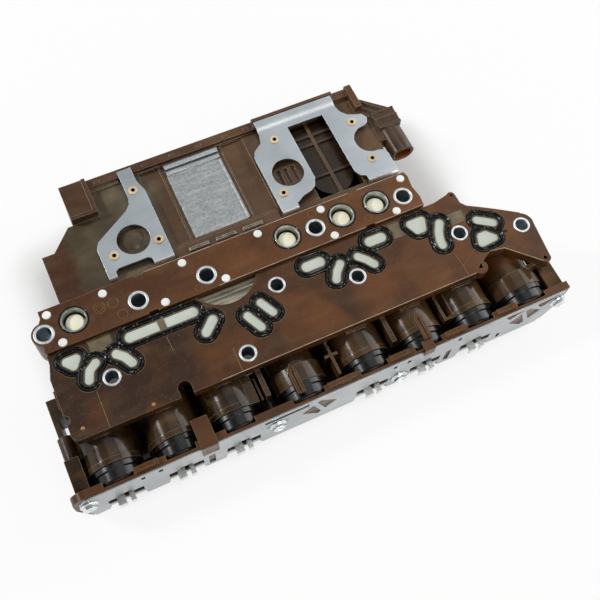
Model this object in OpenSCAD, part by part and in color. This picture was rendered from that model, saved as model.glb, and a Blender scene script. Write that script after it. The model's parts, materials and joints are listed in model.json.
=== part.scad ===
// Transmission valve body: an electro-hydraulic control module, lying with its sealing face up.
// Datum of every module: X along the row of solenoids, Y to the rear,
// Z up from the top face of the solenoid plate. The last lines move the datum so that
// the origin is the centre of the base.

/* [Overall] */
// Height of the sealing face above the surface that the part rests on
rest_depth = 36; // [35:0.5:40]
// Radial gap between a fixed piece and its seat
seat_gap = 0.1; // [0.05:0.05:0.2]
// Radial running clearance of the sliding pieces
slide_gap = 0.05; // [0.03:0.01:0.08]
// Left end of the part, measured from the datum
part_left = 121.5; // [120:0.5:124]
// Right end of the part, measured from the datum
part_right = 118.5; // [118:0.5:124]
// Depth from the datum to the rear of the electronics housing
part_rear = 101; // [100:0.5:106]

/* [Solenoid carrier] */
// Thickness of the top plate
plate_t = 5.5; // [5.4:0.1:6.4]
// Distance of the plate's front edge from the datum
plate_front = 20.6; // [20:0.2:22]
// Distance of the plate's rear edge from the datum
plate_rear = 19.8; // [19.8:0.2:21]
// Depth of the pockets that take the filter plates
pocket_depth = 1.6; // [1.2:0.1:2.2]
// Outer radius of the bolt bushings in the plate
plate_bush_r = 3.98; // [3.6:0.02:4.4]
// Bore radius of the bolt bushings in the plate
plate_bore_r = 2.9; // [2.6:0.1:3.2]
// Length of the bolt bushings in the plate
plate_bush_h = 10; // [8:0.5:10]
// Height of every bushing above the face that it stands in
bush_proud = 0.4; // [0.2:0.1:0.8]
// Thickness of the rear wall that the solenoid noses plug into
rear_wall = 4.8; // [3:0.2:6]

/* [Seals and filters] */
// Width of the rubber bead round each filter window
bead_w = 2.7; // [2:0.1:3]
// Height of the rubber bead above the filter plate
bead_h = 1.2; // [0.8:0.1:1.6]
// Bare lip of filter plate between a window and its bead
lip_w = 0.5; // [0.3:0.1:0.7]
// Distance of the filter plates below the sealing face
filter_drop = 0.3; // [0.2:0.1:0.6]
// Thickness of the mesh packs in the windows
screen_t = 1; // [0.6:0.1:1.2]

/* [Solenoids] */
// Centres of the solenoids along the row
solenoid_x = [-100.5, -73, -46, -14, 17.5, 44.8, 71.5, 98.5]; // [-101:0.5:99]
// Depth of the solenoid axes below the sealing face
axis_drop = 17; // [16.5:0.5:18]
// Outer radius of a solenoid sleeve
sleeve_r = 12; // [11.5:0.1:12.4]
// Wall of a solenoid sleeve
sleeve_wall = 1.2; // [0.8:0.1:1.6]
// Distance of the sleeves' front ends from the datum
sleeve_front = 33; // [31:0.5:33]
// Length of the wide part of a sleeve
sleeve_len = 20; // [18:0.5:20]
// Radius of the narrow sleeves of the two shift solenoids
shift_r = 10.8; // [10.4:0.1:11.2]
// Length of the wide ring at the front of a shift solenoid's sleeve
shift_ring = 8; // [6:0.5:9]
// Radius of a solenoid's nose
nose_r = 6.2; // [5.6:0.1:6.6]
// Length of a solenoid's nose
nose_len = 16; // [14:0.5:17]
// Radius of a spool
spool_r = 3; // [2.5:0.1:3.4]
// Radius of an armature
armature_r = 4.8; // [4:0.1:5.2]
// Travel of a spool
spool_travel = 1.5; // [1:0.1:2]
// Length of a solenoid's end cap
cap_t = 7.6; // [6.4:0.1:7.6]

/* [Lead frame] */
// Thickness of the moulded lead frame
frame_t = 3.5; // [3:0.1:4]
// Distance of the lead frame's top edge below the sealing face
frame_top = 7; // [6.5:0.1:7.5]
// Depth of the recesses that take the end caps
cap_seat = 2.4; // [1.6:0.1:2.4]
// Thickness of the steel cover
cover_t = 0.8; // [0.6:0.1:1.2]
// Reach of the weld tabs in front of the steel cover
tab_reach = 3.2; // [2:0.1:4]
// Half width of the notch below each solenoid's terminals
notch_half = 8; // [7:0.5:9]

/* [Switch strip] */
// Height of the strip's top face above the sealing face
strip_top = 2; // [1.5:0.1:3]
// Depth of the strip's underside below the sealing face
strip_bottom = 12; // [11:0.5:13]
// Distance of the strip's front edge from the datum
strip_front = 20; // [20:0.1:21]
// Distance of the strip's rear edge from the datum
strip_rear = 40; // [39:0.2:40.4]
// Outer radius of the bolt bushings in the strip
strip_bush_r = 4.57; // [4.2:0.01:5]
// Bore radius of the bolt bushings in the strip
strip_bore_r = 3.3; // [3:0.1:3.5]
// Outer radius of a pressure switch cup
cup_r = 5.8; // [5.4:0.1:6.2]
// Wall of a pressure switch cup
cup_wall = 0.7; // [0.5:0.1:0.9]
// Depth of a pressure switch cup
cup_depth = 8; // [7:0.5:9]
// Radius of a pressure switch disc
disc_r = 4; // [3.6:0.1:4.4]
// Depth of a disc below the rim of its cup
disc_drop = 2.6; // [2.4:0.1:3.4]
// Travel of a pressure switch disc
disc_travel = 0.4; // [0.3:0.1:0.6]
// Width of the sealing ring round a cup
ring_w = 0.6; // [0.5:0.1:1.1]
// Radius of a heat stake
stake_r = 1.9; // [1.6:0.1:2.2]

/* [Electronics housing] */
// Depth of the housing's deck below the sealing face
deck_drop = 9.5; // [9:0.5:10.5]
// Thickness of the deck
deck_t = 2.5; // [2:0.1:3]
// Wall of the housing
housing_wall = 2.5; // [2:0.1:3]
// Thickness of the bottom cover
bottom_t = 2; // [1.6:0.1:2.4]
// Thickness of the bracket sheet
bracket_t = 1.2; // [1:0.1:1.5]
// Depth of the brackets' top face below the sealing face
bracket_drop = 6; // [5.5:0.1:6.5]
// Radius of the round clearance holes in the brackets
bracket_hole_r = 7.8; // [7:0.1:8.4]
// Thickness of the aluminium window plate
heat_t = 2.6; // [2:0.1:3]

/* [Connector] */
// Width of the connector tube
tube_w = 12.2; // [11:0.1:14]
// Height of the connector tube
tube_h = 10; // [9:0.1:11]
// Wall of the connector tube
tube_wall = 1.4; // [1.2:0.1:1.8]
// Depth of the connector's socket
socket_depth = 19; // [17:0.5:20]

/* [Hidden] */
$fn = 48;
eps = 0.01;
axis_z = -axis_drop;
base_z = -rest_depth;
bore_r = sleeve_r - sleeve_wall;
can_r = bore_r - seat_gap;
shift_can_r = shift_r - sleeve_wall - seat_gap;
shift_ring_r = sleeve_r + 0.4;
left_wall = solenoid_x[0] - sleeve_r + 0.2;
right_wall = solenoid_x[7] + shift_ring_r - 0.2;
sleeve_back = sleeve_len - sleeve_front;
nose_tube_r = nose_r + seat_gap + 1.6;
nose_end = sleeve_back + nose_len;
can_floor = 3;
armature_len = 10;
chamber_back = sleeve_back - can_floor;
chamber_front = chamber_back - armature_len - spool_travel - 1.3;
coil_in = armature_r + 0.9;
cap_front = -(sleeve_front + cap_t);
cap_room = 0.3;
frame_rear = cap_front + cap_seat - cap_room;
frame_front = frame_rear - frame_t;
cover_front = frame_front - cover_t;
tab_front = cover_front - tab_reach;
deck_z = -deck_drop;
bracket_z = -bracket_drop;
cover_z = base_z + bottom_t;
filter_z = -filter_drop;
insert_grow = lip_w + bead_w + 0.2;
post_r = 3.2;
screw_r = 1.9;
disc_t = 1.3;
stem_r = 1.5;
bar_share = 0.975;
strut_w = 3.6;
rim_len = 2.4;
rim_h = 0.35;
web_t = 2;
cap_inset = 0.4;
bend_r = 2.2;
flange_rise = 1.15;
plastic = "#54311a";
dark_plastic = "#3f2a18";
steel = "#b4bcc0";

// Bolt bushings, [x, y]
PLATE_BOLTS = [[-87.6, -0.2], [-31.1, -13.7], [-6.3, 10.9], [28.7, 0], [82, 0.8], [110.9, -7.2]];
STRIP_BOLTS = [[-107.2, 28.9], [-65, 27.7], [-33.2, 27.1], [21.5, 29.3], [66.3, 28]];
// Pressure switches and heat stakes
SWITCHES = [[-93.5, 30.3], [7.7, 30.3], [35.4, 30.3], [53.2, 30.3]];
STAKES = [
    for (x = [-103.4, -78.1, -40.9, -4, 27.9, 69.8]) [x, strip_rear - 2.9],
    for (x = [-101.1, -54.6, -26, 27.9, 60]) [x, strip_front + 2.2]
];
// Stubs that the moulding gates leave on the plate
GATES = [[-106, -16.3], [-76, -18.6]];
// Screws that hold the lead frame, [x, z]
FRAME_SCREWS = [[-115.5, -15], [-30, -18], [31.1, -25.5], [114, -16]];
// Blocks on the lead frame's top edge, [left end, width]
FRAME_BLOCKS = [[-93, 10], [-5, 14], [25, 10], [53, 10], [80, 10]];
// Filter windows: [centre line, width, filled inside the line]
WINDOWS_LEFT = [
    [[[-102.9, 14.2], [-98.6, 14.2], [-100.6, 11.3]], 4, true],
    [[[-91.8, 9], [-95.2, 6.6], [-96.8, 2.6]], 4, false],
    [[[-82.4, 9.2], [-79.6, 6.6], [-77.6, 2.8]], 4.2, false],
    [[[-74.4, 14], [-45.4, 14]], 4.9, false],
    [[[-38.8, 7.2], [-43.6, 2.8]], 4.5, false]
];
WINDOWS_CENTRE = [
    [[[-24.2, 2.6], [-20.8, -4.6]], 4, false],
    [[[-16.4, 6.2], [-13.2, -0.2]], 3.8, false]
];
WINDOWS_MIDDLE = [
    [[[9.8, 13.8], [16.3, 13.8]], 5, false],
    [[[24.4, 9.2], [21.4, 6.2], [19.4, 2.8]], 4, false],
    [[[33.4, 9.2], [36.4, 6.2], [38.6, 2.8]], 4, false],
    [[[41.9, 13.8], [47.7, 13.8]], 5, false]
];
WINDOWS_RIGHT = [
    [[[63.3, 14.3], [69.2, 14.3], [67.6, 10.2], [65, 10.2]], 4, true],
    [[[76.2, 9.4], [73.7, 5.5], [72.2, 1.4], [72, -1.2]], 4.3, false]
];
WINDOWS_FAR = [
    [[[93.2, 3.8], [99.4, -0.4]], 4.2, false],
    [[[90.6, -4.6], [93.2, -4.6], [95.8, -7.4], [89.4, -7.8]], 4, true]
];
WINDOW_GROUPS = [WINDOWS_LEFT, WINDOWS_CENTRE, WINDOWS_MIDDLE, WINDOWS_RIGHT, WINDOWS_FAR];
// Bare patches of filter plate beside the beads, [x, y, width, depth]
PATCHES = [[-92, 13, 10, 6.4], [53, 10.4, 8, 7.6], [81, 6, 8, 6]];
// Divider across the long left window, [x, width]
DIVIDER = [-61.2, 3];
// Centre of the round notch in the plate's rear edge, and its radius
REAR_NOTCH = [-27, 27, 16];
// Rivets of the two brackets, [x, y]
RIVETS_LEFT = [[-46.6, 86.3], [-66.6, 56.9], [-45, 56.8]];
RIVETS_RIGHT = [[26.8, 86], [18.2, 56.4], [66.5, 80.3], [66.2, 57.1]];
// Upper line of the right bracket's rear flange, [y, height]
FLANGE_STEP = [
    [92, 0], [93, 0], [93.7, 0.2], [94.6, flange_rise * 0.8], [95.4, flange_rise], [98.7, flange_rise]
];
HOLE_LEFT = [-55.7, 61.6];
HOLE_RIGHT = [25, 66.3];
rivet_r = 1.5;
// Electronics housing, left to right and front to rear
tray_left = -78.4;
tray_right = 75.5;
tray_front = 41;
ledge_t = 4;
rail_front = 96.6;
rail_z = bracket_z - bracket_t;
// Aluminium window plate, and the recess that it shows in
HEAT = [-28.6, 53, 28.1, 43];
RECESS = [-41, 52, 54, 44.4];
// Pocket with the ribbed back of the main plug
POCKET = [34, 48, 24, 44];
pocket_floor = -20;
pod_top = -12.5;
// Terminal bars at the front of the deck, [left end, right end]
TERMINALS = [[-34, -24], [-20.5, -10.5], [-7, 3]];
terminal_y = 46.2;
// Axis and ends of the connector tube
tube_x = 84.2;
tube_z = -12.5;
tube_front = 57;
tube_rear = 82;
PIN_X = [-2, 2];
pin_r = 0.7;
pin_len = 12;

function is_shift(i) = i == 3 || i == 7;
function ring_r(i) = is_shift(i) ? shift_ring_r : sleeve_r;
function names(stem, count) = [for (i = [1 : count]) str(stem, "_", i)];

// Box between two corners
module span(low, high) {
    translate(low) cube(high - low);
}

// Cylinder along Y between two stations
module along_y(y0, y1, r) {
    translate([0, y1, 0]) rotate([90, 0, 0]) cylinder(h = y1 - y0, r = r);
}

// Upright sheet: a drawing in X and Z, from station y towards the front
module upright(y, t) {
    translate([0, y, 0]) rotate([90, 0, 0]) linear_extrude(t) children();
}

// Flat plate between two heights
module slab(z0, z1) {
    translate([0, 0, z0]) linear_extrude(z1 - z0) children();
}

// Line of a given width with round ends and corners. Its bars are a little slimmer than
// its discs, so that the outlines cross and don't just touch.
module line_2d(points, w, closed = false) {
    last = len(points) - (closed ? 1 : 2);
    bar = w * bar_share;
    for (p = points) {
        translate(p) circle(d = w);
    }
    for (i = [0 : last]) {
        a = points[i];
        d = points[(i + 1) % len(points)] - a;
        translate(a) rotate(atan2(d[1], d[0])) translate([0, -bar / 2]) square([norm(d), bar]);
    }
}

// Outline of a filter window, grown by a margin
module window_2d(window, grow) {
    line_2d(window[0], window[1] + 2 * grow, window[2]);
    if (window[2]) polygon(window[0]);
}

module windows_2d(windows, grow) {
    for (w = windows) {
        window_2d(w, grow);
    }
}

// Turned or punched features repeated at a list of places
module at_each(places, z = 0) {
    for (p = places) {
        translate([p[0], p[1], z]) children();
    }
}

// Outline of the solenoid plate
module plate_2d() {
    difference() {
        union() {
            polygon([
                [-109.5, plate_rear], [-109.5, 16], [-111.5, 9], [-111.5, -17], [-108, -plate_front],
                [79, -plate_front], [83, -17.6], [86, -15.5], [90, -13.3], [97.5, -14.8],
                [111, -28.2], [114.8, -26.6], [117, -7], [113.4, -0.9], [104.6, 5], [97, 9.7],
                [92.4, 12.4], [90.4, 15], [90.3, 20], [86.6, 21.4], [79, plate_rear]
            ]);
            translate([-108, -17]) circle(r = 3.55);
            translate([88.2, 20]) circle(r = 2.1);
            translate([112.5, -26.4]) circle(r = 2.4);
            translate([82.4, -18.6]) circle(r = 3.2);
            translate([110.9, -7]) circle(r = 6.2);
        }
        translate([-112, -10.3]) circle(r = 2.4);
        line_2d([[-61.5, -17], [-61.5, -30]], 6);
        translate([REAR_NOTCH[0], REAR_NOTCH[1]]) circle(r = REAR_NOTCH[2]);
        translate([88.6, 20.2]) circle(r = 0.8);
        translate([112.3, -26.4]) circle(r = 1);
        polygon([[81, -18.8], [83.6, -16.6], [83.4, -19.6]]);
    }
}

// Outline of all filter plates, grown by a margin
module filter_2d(grow) {
    for (group = WINDOW_GROUPS) {
        windows_2d(group, insert_grow + grow);
    }
    for (p = PATCHES) {
        translate([p[0] - grow, p[1] - grow]) square([p[2] + 2 * grow, p[3] + 2 * grow]);
    }
}

// Sleeve of one solenoid, with its nose tube
module sleeve(i) {
    translate([solenoid_x[i], 0, axis_z]) {
        if (is_shift(i)) {
            along_y(-sleeve_front, shift_ring - sleeve_front, shift_ring_r);
            along_y(-sleeve_front, sleeve_back + 2, shift_r);
        } else {
            along_y(-sleeve_front, sleeve_back + 2, sleeve_r);
            along_y(-sleeve_front, rim_len - sleeve_front, sleeve_r + rim_h);
        }
        along_y(sleeve_back, i == 7 ? nose_end + 2 : plate_rear - eps, nose_tube_r);
    }
}

// Stepped bore of one sleeve
module sleeve_bore(i) {
    translate([solenoid_x[i], 0, axis_z]) {
        if (is_shift(i)) {
            along_y(-sleeve_front - 1, shift_ring - sleeve_front - 1.5, bore_r);
            along_y(-sleeve_front - 1, sleeve_back, shift_r - sleeve_wall);
        } else {
            along_y(-sleeve_front - 1, sleeve_back, bore_r);
        }
        along_y(sleeve_back - 1, nose_end, nose_r + seat_gap);
    }
}

// Post behind one lead-frame screw; the two inner posts have a web up to the plate
module screw_post(s) {
    translate([s[0], 0, s[1]]) along_y(frame_rear, -12, post_r);
    if (abs(s[0]) < 100) span([s[0] - 1.1, -sleeve_front, s[1]], [s[0] + 1.1, -12, -plate_t + eps]);
}

// Upright fin between two sleeves, from station y back under the plate
module fin(x, y) {
    span([x, y, -28], [x + 1.2, -12, -8]);
    span([x, -plate_front, -28], [x + 1.2, -12, -plate_t + eps]);
}

// Strut of height h from a sleeve over its cap to the lead frame, dx from the sleeve's axis,
// with a channel along its top and a pointed tail
module strut(i, dx, h) {
    w = strut_w;
    front = frame_rear + sleeve_front;
    translate([solenoid_x[i] + dx, -sleeve_front, axis_z + ring_r(i)]) difference() {
        union() {
            slab(-0.9, h) polygon([[0, 0], [w, 0], [w, 5], [w * 0.6, 8], [w * 0.4, 8], [0, 5]]);
            span([0, front, 0], [w, eps, h]);
        }
        span([w / 3, front - 1, h - 1], [w * 2 / 3, 5, h + 1]);
    }
}

module solenoid_carrier() {
    color(plastic) difference() {
        union() {
            difference() {
                slab(-plate_t, 0) plate_2d();
                slab(-pocket_depth, 1) filter_2d(seat_gap);
            }
            for (i = [0 : len(solenoid_x) - 1]) {
                sleeve(i);
            }
            for (s = FRAME_SCREWS) {
                screw_post(s);
            }
            at_each(PLATE_BOLTS, bush_proud - plate_bush_h) {
                cylinder(h = plate_bush_h - bush_proud - plate_t + eps, r = plate_bush_r + 1.6);
            }
            // Rear wall, left skirt and right skirt
            span([-110, plate_rear - rear_wall, -30], [84, plate_rear, -plate_t + eps]);
            span([-117.6, -27, -29], [-115.2, 6, -13]);
            span([-117.6, -3, -29], [-109.5, 6, -13]);
            span([-118.5, frame_rear, -30], [left_wall, -23.5, -8.5]);
            span([-112.6, -3, -29], [-109.5, 6, -plate_t + eps]);
            span([right_wall, frame_rear, -28], [117.8, -25.4, -9.4]);
            upright(-24.6, 1.6) {
                polygon([[104, -plate_t + eps], [113, -plate_t + eps], [113, -12], [108, -12]]);
            }
            // Fins between the sleeves and struts over two of them
            fin(2.4, -36);
            fin(57.4, -32);
            span([0, -27, -28], [6, -25.8, -8]);
            strut(3, -4.8, 2.8);
            strut(5, -1.8, 2.4);
            // Web under the sleeves and the plate's slot, with a lower lip towards the lead frame
            slab(axis_z - sleeve_r - web_t / 3, axis_z - sleeve_r + web_t * 2 / 3) {
                translate([left_wall, 2 - sleeve_front]) square([right_wall - left_wall, sleeve_len - 2]);
                translate([-66, sleeve_back - 1]) square([13, 16]);
            }
            span(
                [left_wall, frame_rear + 0.4, axis_z - sleeve_r - 1.7],
                [right_wall, 3 - sleeve_front, axis_z - sleeve_r - 0.5]
            );
            // Shoulder of the third sleeve and side wall of the seventh
            span(
                [solenoid_x[2] + 7.6, -sleeve_front, axis_z + 4],
                [solenoid_x[2] + sleeve_r - 0.2, 0.2 - plate_front, axis_z + sleeve_r - 2.6]
            );
            span([57.4, 0.1 - sleeve_front, -27], [solenoid_x[6] - 9, 1.3 - sleeve_front, -8]);
            span([-33, 0.1 - sleeve_front, -28], [-32.1, -22, -9]);
            span(
                [solenoid_x[6] - 9.6, 0.1 - sleeve_front, axis_z + 6],
                [solenoid_x[6] - 8.8, -plate_front, -8]
            );
            // Pads between three sleeves and the plate's front wall
            for (i = [4 : 6]) {
                span(
                    [solenoid_x[i] - 5, -plate_front - 0.9, axis_z],
                    [solenoid_x[i] + 5, eps - plate_front, axis_z + sleeve_r + 0.6]
                );
            }
            at_each(GATES, -eps) cylinder(h = 0.4, r = 0.8);
        }
        for (i = [0 : len(solenoid_x) - 1]) {
            sleeve_bore(i);
        }
        at_each(PLATE_BOLTS, -40) cylinder(h = 50, r = plate_bush_r + seat_gap);
        for (s = FRAME_SCREWS) {
            translate([s[0], 0, s[1]]) along_y(frame_rear - 1, frame_rear + 10, screw_r + seat_gap);
        }
    }
}

// Moulded plates under the beads, with the baffle in the rear notch
module filter_plates() {
    color("#a8946f") {
        difference() {
            slab(-pocket_depth, filter_z) filter_2d(0);
            for (group = WINDOW_GROUPS) {
                slab(-pocket_depth - 1, 1) windows_2d(group, 0);
            }
            at_each(PLATE_BOLTS, -pocket_depth - 1) cylinder(h = pocket_depth + 2, r = plate_bush_r + 0.3);
        }
        span([DIVIDER[0], 14 - 2.7, -pocket_depth], [DIVIDER[0] + DIVIDER[1], 14 + 2.7, filter_z]);
        intersection() {
            slab(-plate_t + 0.02, 0) {
                translate([REAR_NOTCH[0], REAR_NOTCH[1]]) circle(r = REAR_NOTCH[2] - seat_gap);
            }
            union() {
                span([-60, 0, -plate_t], [0, plate_rear - 0.1, -2.6]);
                span([-60, 16, -plate_t], [0, 16.8, -1.8]);
                span([-60, 18, -plate_t], [0, 18.8, -1.8]);
            }
        }
    }
}

module filter_screens() {
    color("#d5dbcf") slab(-pocket_depth, screen_t - pocket_depth) difference() {
        for (group = WINDOW_GROUPS) {
            windows_2d(group, -seat_gap);
        }
        translate([DIVIDER[0] - seat_gap, 0]) square([DIVIDER[1] + 2 * seat_gap, 30]);
    }
}

// Bonded rubber bead with a narrower crown
module seal(windows) {
    color("#1b1c1d") {
        slab(filter_z, filter_z + bead_h / 2) difference() {
            windows_2d(windows, lip_w + bead_w);
            windows_2d(windows, lip_w);
        }
        slab(filter_z + bead_h / 2 - eps, filter_z + bead_h) difference() {
            windows_2d(windows, lip_w + bead_w * 0.75);
            windows_2d(windows, lip_w + bead_w * 0.25);
        }
    }
}

// Rolled steel bushing, its bore along Z
module bushing(r, bore, h) {
    rotate_extrude() polygon([
        [bore + 0.3, 0], [r, 0], [r, h - 0.3], [r - 0.3, h],
        [bore + 0.3, h], [bore, h - 0.3], [bore, 0.3]
    ]);
}

module plate_bushings() {
    color("#c9cdcf") at_each(PLATE_BOLTS, bush_proud - plate_bush_h) {
        bushing(plate_bush_r, plate_bore_r, plate_bush_h);
    }
}

// Half section of a solenoid can, radius and station, nose to the rear
module can_section(i) {
    wide = is_shift(i) ? shift_can_r : can_r;
    step = shift_ring - sleeve_front - 1.5 - seat_gap;
    difference() {
        union() {
            translate([0, -sleeve_front]) square([wide, sleeve_len - seat_gap]);
            if (is_shift(i)) translate([0, -sleeve_front]) square([can_r, step + sleeve_front]);
            translate([0, -sleeve_front]) square([nose_r, sleeve_len + nose_len - 1]);
        }
        translate([-1, -sleeve_front - 1]) square([spool_r + slide_gap + 1, sleeve_len + nose_len + 5]);
        translate([-1, chamber_front]) square([armature_r + slide_gap + 1, chamber_back - chamber_front]);
        translate([0, -sleeve_front - 1]) square([armature_r + slide_gap, chamber_front + sleeve_front + 2]);
        translate([coil_in, -sleeve_front - 1]) square([wide - 0.9 - coil_in, sleeve_len - can_floor + 1]);
    }
}

module turned_about_y(i) {
    translate([solenoid_x[i], 0, axis_z]) rotate([-90, 0, 0]) rotate_extrude() children();
}

module solenoid_can(i) {
    color("#9a9c9b") turned_about_y(i) can_section(i);
}

// Moulded end cap with a collar and a raised rim
module solenoid_cap(i) {
    rim = ring_r(i) - cap_inset;
    color("#141517") turned_about_y(i) polygon([
        [0, -sleeve_front], [rim, -sleeve_front], [rim, -sleeve_front - cap_t * 0.3],
        [rim - 0.7, -sleeve_front - cap_t * 0.36], [rim - 0.7, cap_front + 1.2],
        [rim - 1.1, cap_front + 0.4], [rim - 1.7, cap_front], [rim - 3.2, cap_front],
        [rim - 3.6, cap_front + 0.6], [0, cap_front + 0.6]
    ]);
}

// Armature and spool, pushed to the rear when the coil is fed
module solenoid_spool(i) {
    front = chamber_front + 1;
    back = front + armature_len;
    tip = nose_end - 1 - spool_travel - 0.6;
    color("#c7cacb") turned_about_y(i) polygon([
        [0, front], [armature_r - 0.4, front], [armature_r, front + 0.4], [armature_r, back],
        [spool_r, back], [spool_r, back + 6], [spool_r - 0.8, back + 6.6], [spool_r - 0.8, back + 9],
        [spool_r, back + 9.6], [spool_r, tip - 0.5], [spool_r - 0.5, tip], [0, tip]
    ]);
}

module solenoid_coils() {
    color("#a9592b") for (i = [0 : len(solenoid_x) - 1]) {
        wide = is_shift(i) ? shift_can_r : can_r;
        turned_about_y(i) {
            translate([coil_in + seat_gap, -sleeve_front + 0.4]) {
                square([wide - 0.9 - coil_in - 2 * seat_gap, sleeve_len - can_floor - 0.4]);
            }
        }
    }
}

// Notches and terminal slots of the lead frame and its cover, drawn in X and Z
module terminal_cuts(margin) {
    for (i = [0 : len(solenoid_x) - 1]) {
        if (!is_shift(i)) translate([solenoid_x[i], 0]) {
            translate([-notch_half + margin, -28]) square([2 * (notch_half - margin), 5.5]);
            translate([-notch_half / 3, -23]) square([notch_half * 2 / 3, 3]);
            polygon([
                [-notch_half - 1 + margin, base_z - 1], [-notch_half + margin, -30.5],
                [notch_half - margin, -30.5], [notch_half + 1 - margin, base_z - 1]
            ]);
        }
    }
}

module frame_2d() {
    difference() {
        union() {
            polygon([
                [-part_left, -12], [-part_left, -20], [-117, base_z], [112, base_z],
                [part_right - 1, -25], [part_right, -14], [part_right, -frame_top],
                [-116, -frame_top]
            ]);
            translate([-116, -12]) circle(r = 5.5);
        }
        terminal_cuts(0.5);
        for (s = FRAME_SCREWS) {
            translate(s) circle(r = screw_r + seat_gap);
        }
    }
}

module lead_frame() {
    color(dark_plastic) {
        difference() {
            upright(frame_rear, frame_t) frame_2d();
            for (i = [0 : len(solenoid_x) - 1]) {
                translate([solenoid_x[i], 0, axis_z]) along_y(frame_rear - cap_seat, 0, ring_r(i));
            }
        }
        // Blocks along the top edge, each with a shallow pocket
        for (b = FRAME_BLOCKS) {
            difference() {
                span([b[0], frame_rear - 2.4, -frame_top - eps], [b[0] + b[1], frame_rear, 1.6 - frame_top]);
                translate([b[0] + 1.6, frame_rear - 1.9, 1.2 - frame_top]) cube([b[1] - 3.2, 1.3, 1]);
            }
        }
        // Clips over the top edge, with their arms down the front
        span([-65, cover_front - 0.8, -frame_top - 0.4], [-57.5, -30, -4.4]);
        span([-65, cover_front - 0.8, -15], [-57.5, cover_front - 0.02, -4.4]);
        span([41, cover_front - 0.8, -5], [46, frame_rear - 0.3, -3.8]);
        span([41, cover_front - 0.8, -9.5], [46, cover_front - 0.02, -3.8]);
        span([41, frame_front, -frame_top - eps], [46, frame_front + 1, -5 + eps]);
    }
}

// Cut-outs of the steel cover beside the terminals, drawn in X and Z
module cover_windows() {
    for (x = [-92.2, -84.4, 26.4, 33.4, 59.6]) {
        translate([x, -13]) square([1.8, 3.4]);
    }
    for (x = [-62.6, 55.4]) {
        translate([x, -33]) square([3, 12]);
    }
    translate([-36, -12.6]) square([21, 3]);
    for (c = [[-9.5, -20], [97.5, -20]]) {
        difference() {
            translate(c) rotate(45) square(13, center = true);
            translate(c) rotate(20) square([2.2, 30], center = true);
        }
    }
    polygon([[84, -9.5], [96, -9.5], [88, -15.5]]);
    polygon([[101, -10], [112, -10], [112, -11.4], [106, -17]]);
    translate([84.4, -33]) square([2, 5]);
}

module steel_cover() {
    color("#c3c5c5") upright(frame_front, cover_t) difference() {
        polygon([
            [2.4 - part_left, -12], [2.4 - part_left, -21], [-115.5, base_z + 0.8], [108, base_z + 0.8],
            [part_right - 4, -24], [part_right - 2.4, -14], [part_right - 2.4, -7.6], [-116, -7.6]
        ]);
        terminal_cuts(0);
        cover_windows();
        for (s = FRAME_SCREWS) {
            translate(s) circle(r = screw_r + seat_gap);
            if (abs(s[0]) < 100) translate(s) polygon([[-6.2, 0], [0, -2.7], [6.2, 0], [0, 2.7]]);
        }
    }
}

// Tinned blades of the solenoids, bent forward through the slots
module weld_tabs() {
    color("#cfd3d0") for (i = [0 : len(solenoid_x) - 1]) {
        if (!is_shift(i)) translate([solenoid_x[i], 0, -25.2]) {
            for (t = [[-4.4, 3.6], [1.2, 2.2]]) {
                span([t[0], tab_front, -0.6], [t[0] + t[1], cap_front - 0.1, 0.6]);
                span([t[0], tab_front, -3.2], [t[0] + t[1], tab_front + 0.8, 0.6]);
            }
        }
    }
}

module cover_screws() {
    color("#d9dddf") for (s = FRAME_SCREWS) {
        translate([s[0], cover_front, s[1]]) rotate([90, 0, 0]) {
            cylinder(h = 0.9, r = 4);
            cylinder(h = 2.6, r = 3.1, $fn = 6);
            translate([0, 0, -13]) cylinder(h = 13.2, r = screw_r);
        }
    }
}

// Outline of the switch strip
module strip_2d() {
    difference() {
        union() {
            polygon([
                [-106.5, strip_rear], [-106.5, 36.4], [-108, 34], [-109.6, 20.6], [-109, strip_front],
                [73.2, strip_front], [73.8, 25], [72.8, 31], [73.6, 37], [72.8, strip_rear]
            ]);
            translate(STRIP_BOLTS[0]) circle(r = strip_bush_r + 0.9);
        }
        for (x = [-63, 43.2]) {
            translate([x, strip_rear - 0.8]) square([4.4, 2]);
            translate([x, strip_front - 1.2]) square([4.4, 2]);
        }
    }
}

module switch_strip() {
    color(plastic) difference() {
        slab(-strip_bottom, strip_top) strip_2d();
        at_each(STRIP_BOLTS, -strip_bottom - 1) {
            cylinder(h = strip_bottom + strip_top + 2, r = strip_bush_r + seat_gap);
        }
        at_each(SWITCHES, strip_top - cup_depth) cylinder(h = cup_depth + 1, r = cup_r + seat_gap);
        at_each(SWITCHES, strip_top - 1.2) cylinder(h = 2, r = cup_r + ring_w + 2 * seat_gap);
        at_each(SWITCHES, -strip_bottom - 1) cylinder(h = strip_bottom, r = 2);
        at_each(STAKES, strip_top - 4) cylinder(h = 5, r = stake_r + seat_gap);
    }
}

module strip_bushings() {
    color("#c9cdcf") at_each(STRIP_BOLTS, -strip_bottom) {
        bushing(strip_bush_r, strip_bore_r, strip_bottom + strip_top + bush_proud);
    }
}

module strip_stakes() {
    color("#eef0ee") at_each(STAKES, strip_top - 4) rotate_extrude() polygon([
        [0, 0], [stake_r, 0], [stake_r, 4.1], [stake_r - 0.35, 4.4], [0, 4.4]
    ]);
}

// Rubber ring in the groove round each cup
module switch_rings() {
    color("#1b1c1d") at_each(SWITCHES, strip_top - 1.2) rotate_extrude() {
        translate([cup_r + seat_gap, 0]) square([ring_w, 1.5]);
    }
}

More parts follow.
